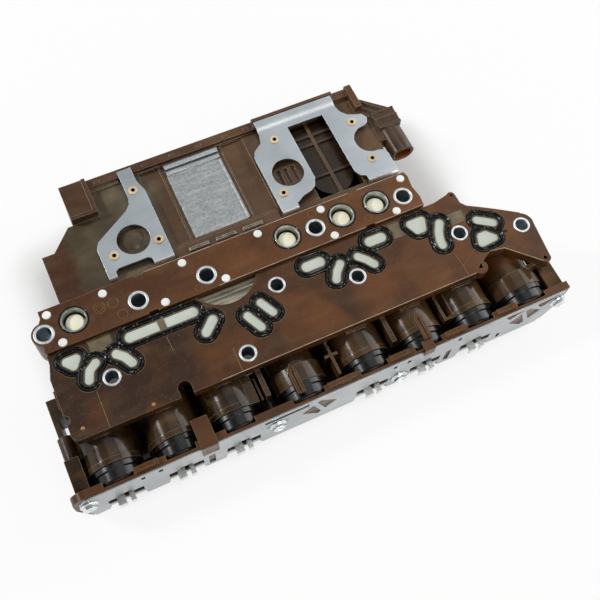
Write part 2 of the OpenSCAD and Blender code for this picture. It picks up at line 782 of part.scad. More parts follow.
// Drawn steel cup with the guide bore of its disc
module switch_cup(i) {
    floor_z = cup_depth - disc_drop - disc_t - disc_travel - 0.3;
    color("#8d9290") translate([SWITCHES[i][0], SWITCHES[i][1], strip_top - cup_depth]) {
        rotate_extrude() polygon([
            [stem_r + slide_gap, 0], [cup_r, 0], [cup_r, cup_depth + 0.2],
            [cup_r - cup_wall, cup_depth + 0.2], [disc_r + 0.4, floor_z], [stem_r + slide_gap, floor_z]
        ]);
    }
}

// Contact disc of a pressure switch, on its guide stem
module switch_disc(i) {
    top = strip_top - disc_drop;
    color("#f3ecc0") translate([SWITCHES[i][0], SWITCHES[i][1], top]) rotate_extrude() polygon([
        [0, -4.6], [stem_r, -4.6], [stem_r, -disc_t], [disc_r - 0.3, -disc_t], [disc_r, 0.3 - disc_t],
        [disc_r, -0.4], [disc_r - 0.4, 0], [2, 0.1], [0, 0.1]
    ]);
}

// Oval of the connector tube, drawn in X and Z
module tube_2d(inset) {
    r = tube_h / 2 - inset;
    half = (tube_w - tube_h) / 2;
    line_2d([[-half, 0], [half, 0]], 2 * r);
}

// D-shaped back of the main plug, with its ribs
module plug_pod() {
    cx = POCKET[0] + POCKET[2] / 2;
    r = POCKET[2] / 2 - 1.4;
    slab(pocket_floor - eps, pod_top) {
        translate([cx, POCKET[1] + 12]) circle(r = r);
        translate([cx - r, POCKET[1] + 12]) square([2 * r, POCKET[3] - 13.4]);
    }
    span([cx - 0.8, POCKET[1], pocket_floor], [cx + 0.8, POCKET[1] + POCKET[3], pod_top + 1.6]);
    for (y = [12.5, 31, 36]) {
        span([cx - r, POCKET[1] + y, pocket_floor], [cx + r, POCKET[1] + y + 1.2, pod_top + 1.2]);
    }
}

// Dome of height h moulded on the deck
module deck_dome(x, y, h) {
    r = 6.3;
    ball = (r * r + h * h) / (2 * h);
    intersection() {
        translate([x, y, deck_z + h - ball]) sphere(r = ball, $fn = 64);
        translate([x, y, deck_z - 0.5]) cylinder(h = 4, r = r);
    }
}

module module_housing() {
    color(dark_plastic) difference() {
        union() {
            // Tray with an open bottom
            difference() {
                span([tray_left, tray_front, cover_z], [tray_right, part_rear, deck_z]);
                span(
                    [tray_left + housing_wall, tray_front + housing_wall, cover_z - 1],
                    [tray_right - housing_wall, part_rear - housing_wall, deck_z - deck_t]
                );
            }
            // Left flange, and the ledge under the switch strip
            slab(deck_z - 4.5, deck_z) polygon([
                [-97, tray_front], [-97, 71], [-91, 71], [-81, 81.5], [tray_left + eps, 81.5],
                [tray_left + eps, tray_front]
            ]);
            slab(-strip_bottom - ledge_t, -strip_bottom) {
                translate([-106.5, plate_rear]) square([179.5, tray_front - plate_rear + 1]);
                translate(STRIP_BOLTS[0]) circle(r = strip_bush_r + 0.9);
            }
            // Rear rails and the raised box at the left
            span([-66, rail_front, deck_z - eps], [tray_right, part_rear, rail_z]);
            span([20.5, part_rear - 1.5, deck_z], [64.5, part_rear, -5]);
            span([72, 87, deck_z - eps], [tray_right, part_rear, -5]);
            span([tray_left, 81.5, deck_z - eps], [-65.5, part_rear, -5.3]);
            span([20.5, rail_front, rail_z - eps], [64.5, part_rear - 1, rail_z + flange_rise]);
            for (x = [-62, -38, -24, -10, 4, 15]) {
                span([x, rail_front + 1, rail_z - eps], [x + 3, rail_front + 2.2, rail_z + 0.5]);
            }
            span([-65.5 - eps, rail_front - 2, deck_z - eps], [-51, rail_front + eps, deck_z + 1]);
            // Border of the raised box
            span([-67.5, 81.5, -5.4], [-65.5, part_rear, -4.6]);
            span([tray_left, 81.5, -5.4], [-65.5, 83.3, -4.6]);
            // Bosses under the bracket rivets
            at_each(concat(RIVETS_LEFT, RIVETS_RIGHT), deck_z - 0.5) {
                cylinder(h = rail_z - deck_z + 0.5, r = 3);
            }
            deck_dome(-59.2, 88, 0.6);
            deck_dome(-56.4, 64.4, 1.4);
            // Terminal ledge and pillars of the circuit board
            span([-40.6, 44.6, deck_z - eps], [12, 50.4, deck_z + 1]);
            at_each([[-70, 50], [-70, 92], [27, 50], [27, 92]], -22.4) cylinder(h = 11, r = 2.5);
            // Pocket walls round the main plug
            span(
                [POCKET[0] - 1.5, POCKET[1] - 1.5, pocket_floor - 2],
                [POCKET[0] + POCKET[2] + 1.5, POCKET[1] + POCKET[3] + 1.5, deck_z - 1]
            );
        }
        span(
            [POCKET[0], POCKET[1], pocket_floor],
            [POCKET[0] + POCKET[2], POCKET[1] + POCKET[3], 0]
        );
        span([RECESS[0], RECESS[1], deck_z - 1], [RECESS[0] + RECESS[2], RECESS[1] + RECESS[3], 0]);
        span([HEAT[0], HEAT[1], -20], [HEAT[0] + HEAT[2], HEAT[1] + HEAT[3], 0]);
        at_each(STRIP_BOLTS, -strip_bottom - ledge_t - 1) cylinder(h = ledge_t + 2, r = strip_bore_r + 0.4);
        at_each(concat(RIVETS_LEFT, RIVETS_RIGHT), deck_z - 1.5) cylinder(h = 5, r = rivet_r + seat_gap);
        // Shallow panels in the outer walls
        for (x = [tray_left + 6 : 14.6 : tray_right - 12]) {
            span([x, part_rear - 0.8, cover_z + 3], [x + 11, part_rear + 1, deck_z - 5]);
        }
        for (y = [tray_front + 5 : 14 : part_rear - 12]) {
            span([tray_left - 1, y, cover_z + 3], [tray_left + 0.8, y + 10, -17]);
            span([tray_right - 0.8, y, cover_z + 3], [tray_right + 1, y + 10, -17]);
        }
        // Slots seen through the right bracket's hole
        for (x = [20.4, 24.4, 28.2]) {
            span([x, 62, deck_z - 1.4], [x + 2, 71, 0]);
        }
    }
    color(dark_plastic) {
        plug_pod();
        // Sloped borders of the recess and rails beside the window plate
        recess_end = RECESS[0] + RECESS[2];
        upright(RECESS[1] + RECESS[3] - 0.5, RECESS[3] - 1) {
            for (edge = [[RECESS[0] - 1, 5], [recess_end + 1, -5.6]]) {
                translate([edge[0], deck_z - 1.2]) polygon([[0, -0.3], [edge[1], 0], [0, 1.1]]);
            }
        }
        for (x = [HEAT[0] - 2.4, HEAT[0] + HEAT[2] + 1.5]) {
            span(
                [x, RECESS[1] + 0.6, deck_z - 1 - eps],
                [x + 0.9, RECESS[1] + RECESS[3] - 0.6, deck_z - 0.4]
            );
        }
    }
}

// Bottom cover with stiffening grooves on its outside
module module_cover() {
    color(dark_plastic) difference() {
        span([tray_left, tray_front, base_z], [tray_right, part_rear, cover_z]);
        for (x = [-60 : 20 : 60]) {
            span([x, tray_front + 6, base_z - 1], [x + 8, part_rear - 6, base_z + 0.8]);
        }
    }
}

// Aluminium plate in the deck window, with two rolled ribs at its rear
module heat_plate() {
    gap = 2 * seat_gap;
    top = deck_z - 1.1;
    color("#b9bcbb") {
        span(
            [HEAT[0] + gap, HEAT[1] + gap, top - heat_t],
            [HEAT[0] + HEAT[2] - gap, HEAT[1] + HEAT[3] - gap, top]
        );
        span(
            [HEAT[0] - 3, HEAT[1] - 3, top - heat_t - 0.6],
            [HEAT[0] + HEAT[2] + 3, HEAT[1] + HEAT[3] + 1, deck_z - deck_t]
        );
        span(
            [HEAT[0] + HEAT[2] - gap - 0.9, HEAT[1] + gap, top - eps],
            [HEAT[0] + HEAT[2] - gap, HEAT[1] + 36, top + 0.7]
        );
        for (rib = [[38.2, 1.3, 0.2], [41.2, 1.5, 1.2]]) {
            translate([HEAT[0] + gap, HEAT[1] + rib[0], top + rib[2]]) rotate([0, 90, 0]) {
                cylinder(h = HEAT[2] - 2 * gap, r = rib[1]);
            }
        }
    }
}

module circuit_board() {
    color("#2f5a3c") {
        span([tray_left + 4.4, tray_front + 4, -24], [POCKET[0] - 3, part_rear - 4, -22.4]);
        for (c = [[-56, 56, 14], [-36, 78, 10], [6, 58, 12]]) {
            span([c[0], c[1], -26.2], [c[0] + c[2], c[1] + c[2], -24 + eps]);
        }
    }
}

// Grooved weld bars between the deck and the strip
module terminal_bars() {
    top = deck_z + 1;
    color("#c6cacb") for (t = TERMINALS) {
        span([t[0], terminal_y, top], [t[1], terminal_y + 1.8, top + 0.6]);
        for (y = [0.15, 1.05]) {
            span([t[0] + 0.2, terminal_y + y, top + 0.5], [t[1] - 0.2, terminal_y + y + 0.6, top + 1.1]);
        }
    }
}

// Sheet section drawn in Y and Z, along X between two stations
module section_x(x0, x1) {
    translate([x0, 0, 0]) rotate([90, 0, 90]) linear_extrude(x1 - x0) children();
}

// Folded foot of a bracket: flat to a round bend, then down to the deck
module bracket_foot(x0, x1) {
    fold = tray_front + 4.6;
    drop = bracket_z - deck_z;
    section_x(x0, x1) translate([fold, deck_z]) {
        square([bracket_t, drop - bend_r + eps]);
        translate([bend_r - eps, drop - bracket_t]) square([6.8 - bend_r, bracket_t]);
        intersection() {
            translate([bend_r, drop - bend_r]) difference() {
                circle(r = bend_r);
                circle(r = bend_r - bracket_t);
            }
            translate([0, drop - bend_r]) square(bend_r);
        }
    }
}

module bracket_left() {
    color(steel) difference() {
        union() {
            slab(rail_z, bracket_z) polygon([
                [-50.2, 99], [-43.3, 99], [-43.3, 91], [-41.3, 84], [-41.3, 49], [-51.2, 49],
                [-53, 50.2], [-67, 50.2], [-68.8, 49], [-72.8, 49], [-72.8, 63], [-71, 66.4],
                [-67.5, 68.6], [-53.6, 77], [-51, 80], [-50.2, 83.5]
            ]);
            bracket_foot(-72.8, -68.8);
            bracket_foot(-51.2, -41.3);
        }
        translate([HOLE_LEFT[0], HOLE_LEFT[1], -20]) cylinder(h = 30, r = bracket_hole_r);
        at_each(RIVETS_LEFT, -20) cylinder(h = 30, r = rivet_r + seat_gap);
    }
}

module bracket_right() {
    color(steel) difference() {
        union() {
            slab(rail_z, bracket_z) polygon([
                [21, 94], [63, 94], [63, 91.6], [64, 88.4], [66.6, 85.4], [70, 84], [73.2, 83],
                [74.8, 80], [73.4, 77.2], [71, 76], [71, 60.6], [73.8, 59.6],
                [75, 57], [75, 49], [59.3, 49], [58.8, 49.6], [56.6, 50.6], [54.9, 54], [54.9, 90.3],
                [35.7, 90.3], [35.7, 58.6], [33.6, 54], [31, 52.4], [26, 51.2], [22.6, 49], [13.4, 49],
                [13.4, 80], [15, 83.4], [19.6, 86.6], [21, 91.5]
            ]);
            bracket_foot(13.4, 22);
            bracket_foot(59.3, 75);
            // Rear flange, set up by a step in the sheet
            section_x(21, 63) translate([0, bracket_z]) polygon(concat(
                [for (p = FLANGE_STEP) p],
                [for (i = [len(FLANGE_STEP) - 1 : -1 : 0]) FLANGE_STEP[i] - [0, bracket_t]]
            ));
        }
        translate([HOLE_RIGHT[0], HOLE_RIGHT[1], -20]) cylinder(h = 30, r = bracket_hole_r);
        translate([70.6, 68.3, -20]) cylinder(h = 30, r = 7.9);
        at_each(RIVETS_RIGHT, -20) cylinder(h = 30, r = rivet_r + seat_gap);
    }
}

// Eyelets that hold the brackets to their bosses
module bracket_rivets() {
    color("#d8b98c") at_each(concat(RIVETS_LEFT, RIVETS_RIGHT), bracket_z) rotate_extrude() {
        polygon([
            [0.9, 0.5], [0.9, deck_z - bracket_z], [rivet_r, deck_z - bracket_z], [rivet_r, 0],
            [2.3, 0], [2.3, 0.3], [2, 0.5]
        ]);
    }
}

module connector_shell() {
    color(dark_plastic) difference() {
        union() {
            translate([tube_x, 0, tube_z]) {
                upright(tube_rear, tube_rear - tube_front) tube_2d(0);
                // Flat block at the tube's root, with ridges across it
                span([-tube_w / 2, tube_rear - 10, 0], [tube_w / 2, tube_rear, tube_h / 2 + 0.2]);
                for (y = [0.2, 4.4, 8.8]) {
                    span([-tube_w / 2, tube_rear - y - 1, 0], [tube_w / 2, tube_rear - y, tube_h / 2 + 0.8]);
                }
            }
            slab(tube_z - 3, tube_z + 3.6) polygon([
                [tray_right, 95], [tube_x + 6, tube_rear], [tube_x, tube_rear - 4], [tube_x, 66],
                [tray_right, 66]
            ]);
            // Ribs across the gusset
            slab(tube_z + 3.5, tube_z + 4.5) {
                for (k = [0 : 2]) {
                    line_2d([[tray_right + 0.8, 92 - 5 * k], [tube_x + 3 - k, 81 - 3.5 * k]], 0.8);
                }
            }
        }
        translate([tube_x, 0, tube_z]) {
            upright(tube_front + socket_depth, socket_depth + 1) tube_2d(tube_wall);
            for (x = PIN_X) {
                translate([x, 0, 0]) along_y(tube_front, tube_rear - 3, pin_r + seat_gap);
            }
        }
    }
}

module connector_pins() {
    pin_back = tube_rear - 3;
    color("#c8a860") for (x = PIN_X) {
        translate([tube_x + x, 0, tube_z]) along_y(pin_back - pin_len, pin_back, pin_r);
    }
}

// Moves the datum so that the origin is the centre of the base
module placed() {
    translate([(part_left - part_right) / 2, -(tab_front + part_rear) / 2, rest_depth]) children();
}

placed() {
    solenoid_carrier();
    filter_plates();
    filter_screens();
    seal(WINDOWS_LEFT);  // seal_left
    seal(WINDOWS_CENTRE);  // seal_centre
    seal(WINDOWS_MIDDLE);  // seal_middle
    seal(WINDOWS_RIGHT);  // seal_right
    seal(WINDOWS_FAR);  // seal_far_right
    plate_bushings();
    for (i = [0 : len(solenoid_x) - 1]) {
        solenoid_can(i);
        solenoid_cap(i);
        solenoid_spool(i);
    }
    solenoid_coils();
    lead_frame();
    steel_cover();
    weld_tabs();
    cover_screws();
    switch_strip();
    strip_bushings();
    strip_stakes();
    switch_rings();
    for (i = [0 : len(SWITCHES) - 1]) {
        switch_cup(i);
        switch_disc(i);
    }
    module_housing();
    module_cover();
    heat_plate();
    circuit_board();
    terminal_bars();
    bracket_left();
    bracket_right();
    bracket_rivets();
    connector_shell();
    connector_pins();
}
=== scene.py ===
import json
import math

import bmesh
import bpy
import numpy as np
from mathutils import Matrix, Vector


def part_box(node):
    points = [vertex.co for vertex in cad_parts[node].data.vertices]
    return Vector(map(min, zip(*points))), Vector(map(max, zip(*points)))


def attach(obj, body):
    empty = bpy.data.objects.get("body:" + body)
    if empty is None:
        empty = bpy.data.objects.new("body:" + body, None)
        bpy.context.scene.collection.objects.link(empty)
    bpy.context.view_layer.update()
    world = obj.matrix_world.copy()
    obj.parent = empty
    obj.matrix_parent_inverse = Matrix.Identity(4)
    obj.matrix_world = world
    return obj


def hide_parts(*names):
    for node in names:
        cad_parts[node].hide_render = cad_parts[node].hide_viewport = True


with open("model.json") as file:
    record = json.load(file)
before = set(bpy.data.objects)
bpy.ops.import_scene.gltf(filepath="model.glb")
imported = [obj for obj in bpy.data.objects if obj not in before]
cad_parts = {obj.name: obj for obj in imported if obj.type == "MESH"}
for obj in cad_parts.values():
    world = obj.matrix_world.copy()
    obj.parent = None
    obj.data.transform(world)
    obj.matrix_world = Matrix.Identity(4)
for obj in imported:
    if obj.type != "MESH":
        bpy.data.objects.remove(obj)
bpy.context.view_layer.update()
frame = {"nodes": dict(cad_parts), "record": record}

NODES = frame["nodes"]
RECORD = frame["record"]
MM = 0.001
# The part's own datum: X along the solenoids, Y to the rear, Z up from the sealing face
DATUM = Vector((1.5, -27.5, 36.0))


def at(x, y, z):
    """A point of the datum, in millimetres, as a point of the frame, in metres."""
    return (Vector((x, y, z)) + DATUM) * MM


def corners(node):
    """Lowest and highest corner of a node, in millimetres of the datum."""
    return [Vector(p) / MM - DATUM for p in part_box(node)]


def bolts(group):
    """Places and bore radius of a group of bolt mounts, in millimetres of the datum."""
    mounts = [m for m in RECORD["mounts"] if m["name"].startswith(group)]
    spots = [Vector(m["pos_m"]) / MM - DATUM for m in mounts]
    return [(p.x, p.y) for p in spots], mounts[0]["dims"]["r_mm"]


# Faces that pieces of the scene are placed by
STRIP_FRONT = corners("switch_strip")[0].y
STRIP_REAR = corners("switch_strip")[1].y
STRIP_TOP = corners("switch_strip")[1].z
COVER_FRONT = corners("steel_cover")[0].y
BRACKET_TOP = corners("bracket_left")[1].z
DECK_TOP = corners("bracket_rivets")[0].z
PLATE_TOP, PLATE_FRONT = 0.0, -20.6
# Axis and front end of the connector tube
TUBE_X, TUBE_Z = 84.2, -12.5
TUBE_FRONT = corners("connector_shell")[0].y


def linear(code):
    """An sRGB hex colour as linear red, green, blue and alpha."""
    parts = [int(code[i:i + 2], 16) / 255 for i in (1, 3, 5)]
    return [p / 12.92 if p <= 0.04045 else ((p + 0.055) / 1.055) ** 2.4 for p in parts] + [1.0]


def per_mm(size):
    """Texture scale at which one feature is so many millimetres wide."""
    return 1.0 / (size * MM)


def between(axis, first, last):
    """Inputs of a fade between two places on an axis, in millimetres of the datum."""
    start = getattr(DATUM, axis)
    return {"From Min": (first + start) * MM, "From Max": (last + start) * MM}


def add(tree, kind, inputs=None, out=0, **settings):
    """Adds a shader node. An input that is a socket is linked, any other is set. Gives one output."""
    made = tree.nodes.new("ShaderNode" + kind)
    for key, value in settings.items():
        setattr(made, key, value)
    for key, value in (inputs or {}).items():
        if isinstance(value, bpy.types.NodeSocket):
            tree.links.new(value, made.inputs[key])
        else:
            made.inputs[key].default_value = value
    return made.outputs[out] if len(made.outputs) else None


# Sockets of a Mix node: how much, the two values, and the two colours in its colour mode
SHARE, VALUE_A, VALUE_B, FROM, TO = 0, 2, 3, 6, 7
COLOUR = {"out": 2, "data_type": "RGBA"}
# A noise keeps near a half. These ranges spread it over a whole change of colour or gloss.
WIDE = {"From Min": 0.3, "From Max": 0.7}
NARROW = {"From Min": 0.35, "From Max": 0.65}
# A fade that falls instead of rising
FALLING = {"To Min": 1.0, "To Max": 0.0}
# Cosines between the true normal and the rounded one, at an edge lightened as wear and painted highlight
# and on a plain face
EDGE_LEAN = {"From Min": 0.75, "From Max": 0.99}


def blank(name):
    """A new material, its empty node tree and the places of the surface in the frame."""
    made = bpy.data.materials.new(name)
    made.use_nodes = True
    made.node_tree.nodes.clear()
    return made, made.node_tree, add(made.node_tree, "TexCoord", out="Object")


def rubbed_and_glinting_edges(tree, radius, most):
    """The normal with edges rounded by a radius in millimetres, and how much an edge is lightened, as
    rubbed wear and as a painted highlight.
    """
    rounded = add(tree, "Bevel", {"Radius": radius * MM}, samples=6)
    true = add(tree, "NewGeometry", out="Normal")
    lean = add(tree, "VectorMath", {0: rounded, 1: true}, "Value", operation="DOT_PRODUCT")
    rubbed_and_glint = add(tree, "MapRange", {"Value": lean, **EDGE_LEAN, "To Min": most, "To Max": 0.0})
    return rounded, rubbed_and_glint


# Where masks fade, as a first and a last place on the axis in the name
PLATE_EDGE_Y = (-20.9, -20.4)
PLATE_SIDE_Z = (-4.4, -3.2)
FILM_LEFT_X = (-88, -82)
FILM_RIGHT_X = (-46, -38)
FILM_TOP_Z = (-8, -7.6)
# Painted shade at the left end fades to painted light at the right between these places
LIGHT_FADE_X = (-110, 60)
# Below these heights the deck is painted nearly black as shade
SHADE_DEPTH_Z = (-11.6, -10.8)
BAFFLE_Z = (-1.75, -1.65)
# Half width, half height and depth of the connector's socket, and the fade at its rim as a share of them
SOCKET_W, SOCKET_H, SOCKET_DEPTH = 4.75, 3.65, 20
SOCKET_RIM = {"From Min": 1.04, "From Max": 1.12}
# How far the edge of the dried oil swings to each side
TIDE_SWING = 6 * MM


def front_of_plate(tree, place):
    """Mask of everything in front of the plate and below its top face."""
    y = add(tree, "SeparateXYZ", {"Vector": place}, "Y")
    z = add(tree, "SeparateXYZ", {"Vector": place}, "Z")
    front = add(tree, "MapRange", {"Value": y, **between("y", *PLATE_EDGE_Y), **FALLING})
    below = add(tree, "MapRange", {"Value": z, **between("z", *PLATE_SIDE_Z), **FALLING})
    return add(tree, "Math", {0: front, 1: below}, operation="MULTIPLY")


def inside_socket(tree, place):
    """Mask of the oval inside of the connector tube."""
    off = add(tree, "VectorMath", {0: place, 1: at(TUBE_X, 0, TUBE_Z)}, operation="SUBTRACT")
    shares = (per_mm(SOCKET_W), 0, per_mm(SOCKET_H))
    oval = add(tree, "VectorMath", {0: off, 1: shares}, operation="MULTIPLY")
    reach = add(tree, "VectorMath", {0: oval}, "Value", operation="LENGTH")
    oval = add(tree, "MapRange", {"Value": reach, **SOCKET_RIM, **FALLING})
    y = add(tree, "SeparateXYZ", {"Vector": place}, "Y")
    front = add(tree, "Math", {0: y, 1: at(0, TUBE_FRONT + SOCKET_DEPTH, 0).y}, operation="LESS_THAN")
    return add(tree, "Math", {0: oval, 1: front}, operation="MULTIPLY")


def oil_film(tree, place):
    """Mask of the dried oil on the deck, right of a ragged tide line."""
    x = add(tree, "SeparateXYZ", {"Vector": place}, "X")
    z = add(tree, "SeparateXYZ", {"Vector": place}, "Z")
    ragged = add(tree, "TexNoise", {
        "Vector": place, "Scale": per_mm(16), "Detail": 2.0, "Distortion": 0.2})
    tide = add(tree, "MapRange", {
        "Value": ragged, **WIDE, "To Min": -TIDE_SWING, "To Max": TIDE_SWING})
    shore = add(tree, "Math", {0: x, 1: tide}, operation="ADD")
    left = add(tree, "MapRange", {"Value": shore, **between("x", *FILM_LEFT_X)})
    right = add(tree, "MapRange", {
        "Value": shore, **between("x", *FILM_RIGHT_X), "To Min": 1.0, "To Max": 0.25})
    low = add(tree, "MapRange", {"Value": z, **between("z", *FILM_TOP_Z), "To Min": 1.0, "To Max": 0.2})
    pool = add(tree, "Math", {0: left, 1: right}, operation="MULTIPLY")
    return add(tree, "Math", {0: pool, 1: low}, operation="MULTIPLY")


def oiled_nylon(name, dark, light, worn_and_glint, rough, where=None, over_dark=None, over_light=None,
                over_rough=None, shade_depth=None):
    """Glass-filled nylon, injection moulded and years in oil: brown and satin, painted darker towards the
    left end as shade and lighter towards the right as light, with cloudy flow marks and pale edges that
    are partly rubbed wear and partly a painted highlight. Where a mask says so it has a second pair of
    colours and its own gloss, and below a given depth it is painted nearly black as shade."""
    made, tree, place = blank(name)
    rounded, rubbed_and_glint = rubbed_and_glinting_edges(tree, radius=0.4, most=0.6)
    cloud = add(tree, "TexNoise", {
        "Vector": place, "Scale": per_mm(22), "Detail": 3.0, "Distortion": 0.5})
    along = add(tree, "Mapping", {"Vector": place, "Scale": (0.35, 1.0, 1.0)})
    flow = add(tree, "TexNoise", {"Vector": along, "Scale": per_mm(5), "Detail": 3.0})
    fleck = add(tree, "TexNoise", {"Vector": place, "Scale": per_mm(1.1), "Detail": 2.0})
    film = add(tree, "TexNoise", {
        "Vector": place, "Scale": per_mm(12), "Detail": 4.0, "Distortion": 1.4})
    x = add(tree, "SeparateXYZ", {"Vector": place}, "X")
    # Painted light: darker towards the left end and lighter towards the right, as shade and light
    painted_light_fade = add(tree, "MapRange", {
        "Value": x, **between("x", *LIGHT_FADE_X), "To Min": -0.5, "To Max": 0.3})
    cloudy = add(tree, "MapRange", {"Value": cloud, **WIDE})
    cloudy = add(tree, "Math", {0: cloudy, 1: painted_light_fade}, operation="ADD", use_clamp=True)
    base = add(tree, "Mix", {SHARE: cloudy, FROM: linear(dark), TO: linear(light)}, **COLOUR)
    gloss = add(tree, "MapRange", {
        "Value": film, **NARROW, "To Min": rough - 0.1, "To Max": rough + 0.08})
    if where:
        mask = where(tree, place)
        over = add(tree, "Mix", {SHARE: cloudy, FROM: linear(over_dark), TO: linear(over_light)}, **COLOUR)
        base = add(tree, "Mix", {SHARE: mask, FROM: base, TO: over}, **COLOUR)
        slick = add(tree, "MapRange", {
            "Value": film, **NARROW, "To Min": over_rough, "To Max": over_rough + 0.1})
        gloss = add(tree, "Mix", {SHARE: mask, VALUE_A: gloss, VALUE_B: slick})
    streak = add(tree, "MapRange", {"Value": flow, "From Min": 0.45, "From Max": 0.75, "To Max": 0.04})
    base = add(tree, "Mix", {SHARE: streak, FROM: base, TO: linear(worn_and_glint)}, **COLOUR)
    speck = add(tree, "MapRange", {"Value": fleck, "From Min": 0.6, "From Max": 0.75, "To Max": 0.06})
    base = add(tree, "Mix", {SHARE: speck, FROM: base, TO: linear(worn_and_glint)}, **COLOUR)
    # Pale edges: partly rubbed wear, partly a painted highlight where edges catch the light
    base = add(tree, "Mix", {SHARE: rubbed_and_glint, FROM: base, TO: linear(worn_and_glint)}, **COLOUR)
    if shade_depth:
        # Painted shade: the colour turns nearly black below a depth
        z = add(tree, "SeparateXYZ", {"Vector": place}, "Z")
        painted_shade = add(tree, "MapRange", {"Value": z, **between("z", *shade_depth), "To Min": 0.75, "To Max": 0.0})
        base = add(tree, "Mix", {SHARE: painted_shade, FROM: base, TO: linear("#120c07")}, **COLOUR)
    grain = add(tree, "Bump", {
        "Height": fleck, "Distance": 0.03 * MM, "Strength": 0.3, "Normal": rounded})
    shader = add(tree, "BsdfPrincipled", {
        "Base Color": base, "Roughness": gloss, "Normal": grain, "IOR": 1.5, "Specular IOR Level": 0.35})
    add(tree, "OutputMaterial", {"Surface": shader})
    return made


def moulded_rubber(name):
    """Nitrile rubber, moulded on: black and shiny with oil, with fine pores and pale dots that are painted
    glints.
    """
    made, tree, place = blank(name)
    pores = add(tree, "TexNoise", {"Vector": place, "Scale": per_mm(0.9), "Detail": 3.0})
    patch = add(tree, "TexNoise", {"Vector": place, "Scale": per_mm(6), "Detail": 2.0})
    # Painted highlights: pale dots in the colour stand for glints on the wet rubber
    painted_glints = add(tree, "TexNoise", {"Vector": place, "Scale": per_mm(1.1), "Detail": 0.0})
    painted_glints = add(tree, "MapRange", {"Value": painted_glints, "From Min": 0.71, "From Max": 0.8, "To Max": 0.42})
    base = add(tree, "Mix", {SHARE: painted_glints, FROM: linear("#030404"), TO: linear("#c6c7bf")}, **COLOUR)
    gloss = add(tree, "MapRange", {"Value": patch, **NARROW, "To Min": 0.06, "To Max": 0.2})
    pitted = add(tree, "Bump", {"Height": pores, "Distance": 0.1 * MM, "Strength": 0.6})
    shader = add(tree, "BsdfPrincipled", {
        "Base Color": base, "Roughness": gloss, "Normal": pitted, "IOR": 1.52, "Specular IOR Level": 0.3})
    add(tree, "OutputMaterial", {"Surface": shader})
    return made


def plated_steel(name, dark, light, rough):
    """Plated or turned metal: pale, softly blotched, brighter at its edges as rubbed wear and painted
    highlight.
    """
    made, tree, place = blank(name)
    rounded, rubbed_and_glint = rubbed_and_glinting_edges(tree, radius=0.2, most=0.25)
    blotch = add(tree, "TexNoise", {"Vector": place, "Scale": per_mm(2.5), "Detail": 3.0})
    fine = add(tree, "TexNoise", {"Vector": place, "Scale": per_mm(0.6), "Detail": 2.0})
    blotched = add(tree, "MapRange", {"Value": blotch, **WIDE})
    base = add(tree, "Mix", {SHARE: blotched, FROM: linear(dark), TO: linear(light)}, **COLOUR)
    base = add(tree, "Mix", {SHARE: rubbed_and_glint, FROM: base, TO: linear("#f2f4f5")}, **COLOUR)
    gloss = add(tree, "MapRange", {
        "Value": blotch, **WIDE, "To Min": rough - 0.04, "To Max": rough + 0.06})
    grainy = add(tree, "Bump", {
        "Height": fine, "Distance": 0.008 * MM, "Strength": 0.2, "Normal": rounded})
    shader = add(tree, "BsdfPrincipled", {
        "Base Color": base, "Metallic": 1.0, "Roughness": gloss, "Normal": grainy})
    add(tree, "OutputMaterial", {"Surface": shader})
    return made


def rolled_sheet(name, dark, light, rough):
    """Cold-rolled sheet steel: even blue-grey with faint rolling lines, bends painted near white as a
    highlight, and edges lightened as rubbed wear and painted highlight.
    """
    made, tree, place = blank(name)
    rounded, rubbed_and_glint = rubbed_and_glinting_edges(tree, radius=0.3, most=0.35)
    # Rolling lines are finer than a pixel. They are drawn 0.7 mm wide so that they show.
    along = add(tree, "Mapping", {"Vector": place, "Scale": (0.05, 1.0, 1.0)})
    lines = add(tree, "TexNoise", {"Vector": along, "Scale": per_mm(0.7), "Detail": 3.0})
    cloud = add(tree, "TexNoise", {"Vector": place, "Scale": per_mm(20), "Detail": 3.0})
    cloudy = add(tree, "MapRange", {"Value": cloud, **WIDE})
    base = add(tree, "Mix", {SHARE: cloudy, FROM: linear(dark), TO: linear(light)}, **COLOUR)
    lined = add(tree, "MapRange", {"Value": lines, "From Min": 0.35, "From Max": 0.7, "To Max": 0.14})
    base = add(tree, "Mix", {SHARE: lined, FROM: base, TO: linear("#e3e8ea")}, **COLOUR)
    # A bend is neither level nor upright, so the product of both shares is high only there. There a
    # painted highlight turns the bend near white.
    level = add(tree, "SeparateXYZ", {"Vector": add(tree, "NewGeometry", out="Normal")}, "Z")
    upright = add(tree, "Math", {0: 1.0, 1: level}, operation="SUBTRACT")
    painted_bend_highlight = add(tree, "Math", {0: level, 1: upright}, operation="MULTIPLY")
    painted_bend_highlight = add(tree, "MapRange", {"Value": painted_bend_highlight, "From Min": 0.02, "From Max": 0.16})
    base = add(tree, "Mix", {SHARE: painted_bend_highlight, FROM: base, TO: linear("#fbfcfd")}, **COLOUR)
    base = add(tree, "Mix", {SHARE: rubbed_and_glint, FROM: base, TO: linear("#f6f8f9")}, **COLOUR)
    gloss = add(tree, "MapRange", {
        "Value": cloud, **WIDE, "To Min": rough - 0.05, "To Max": rough + 0.07})
    grainy = add(tree, "Bump", {
        "Height": lines, "Distance": 0.012 * MM, "Strength": 0.4, "Normal": rounded})
    shader = add(tree, "BsdfPrincipled", {
        "Base Color": base, "Metallic": 1.0, "Roughness": gloss, "Normal": grainy})
    add(tree, "OutputMaterial", {"Surface": shader})
    return made


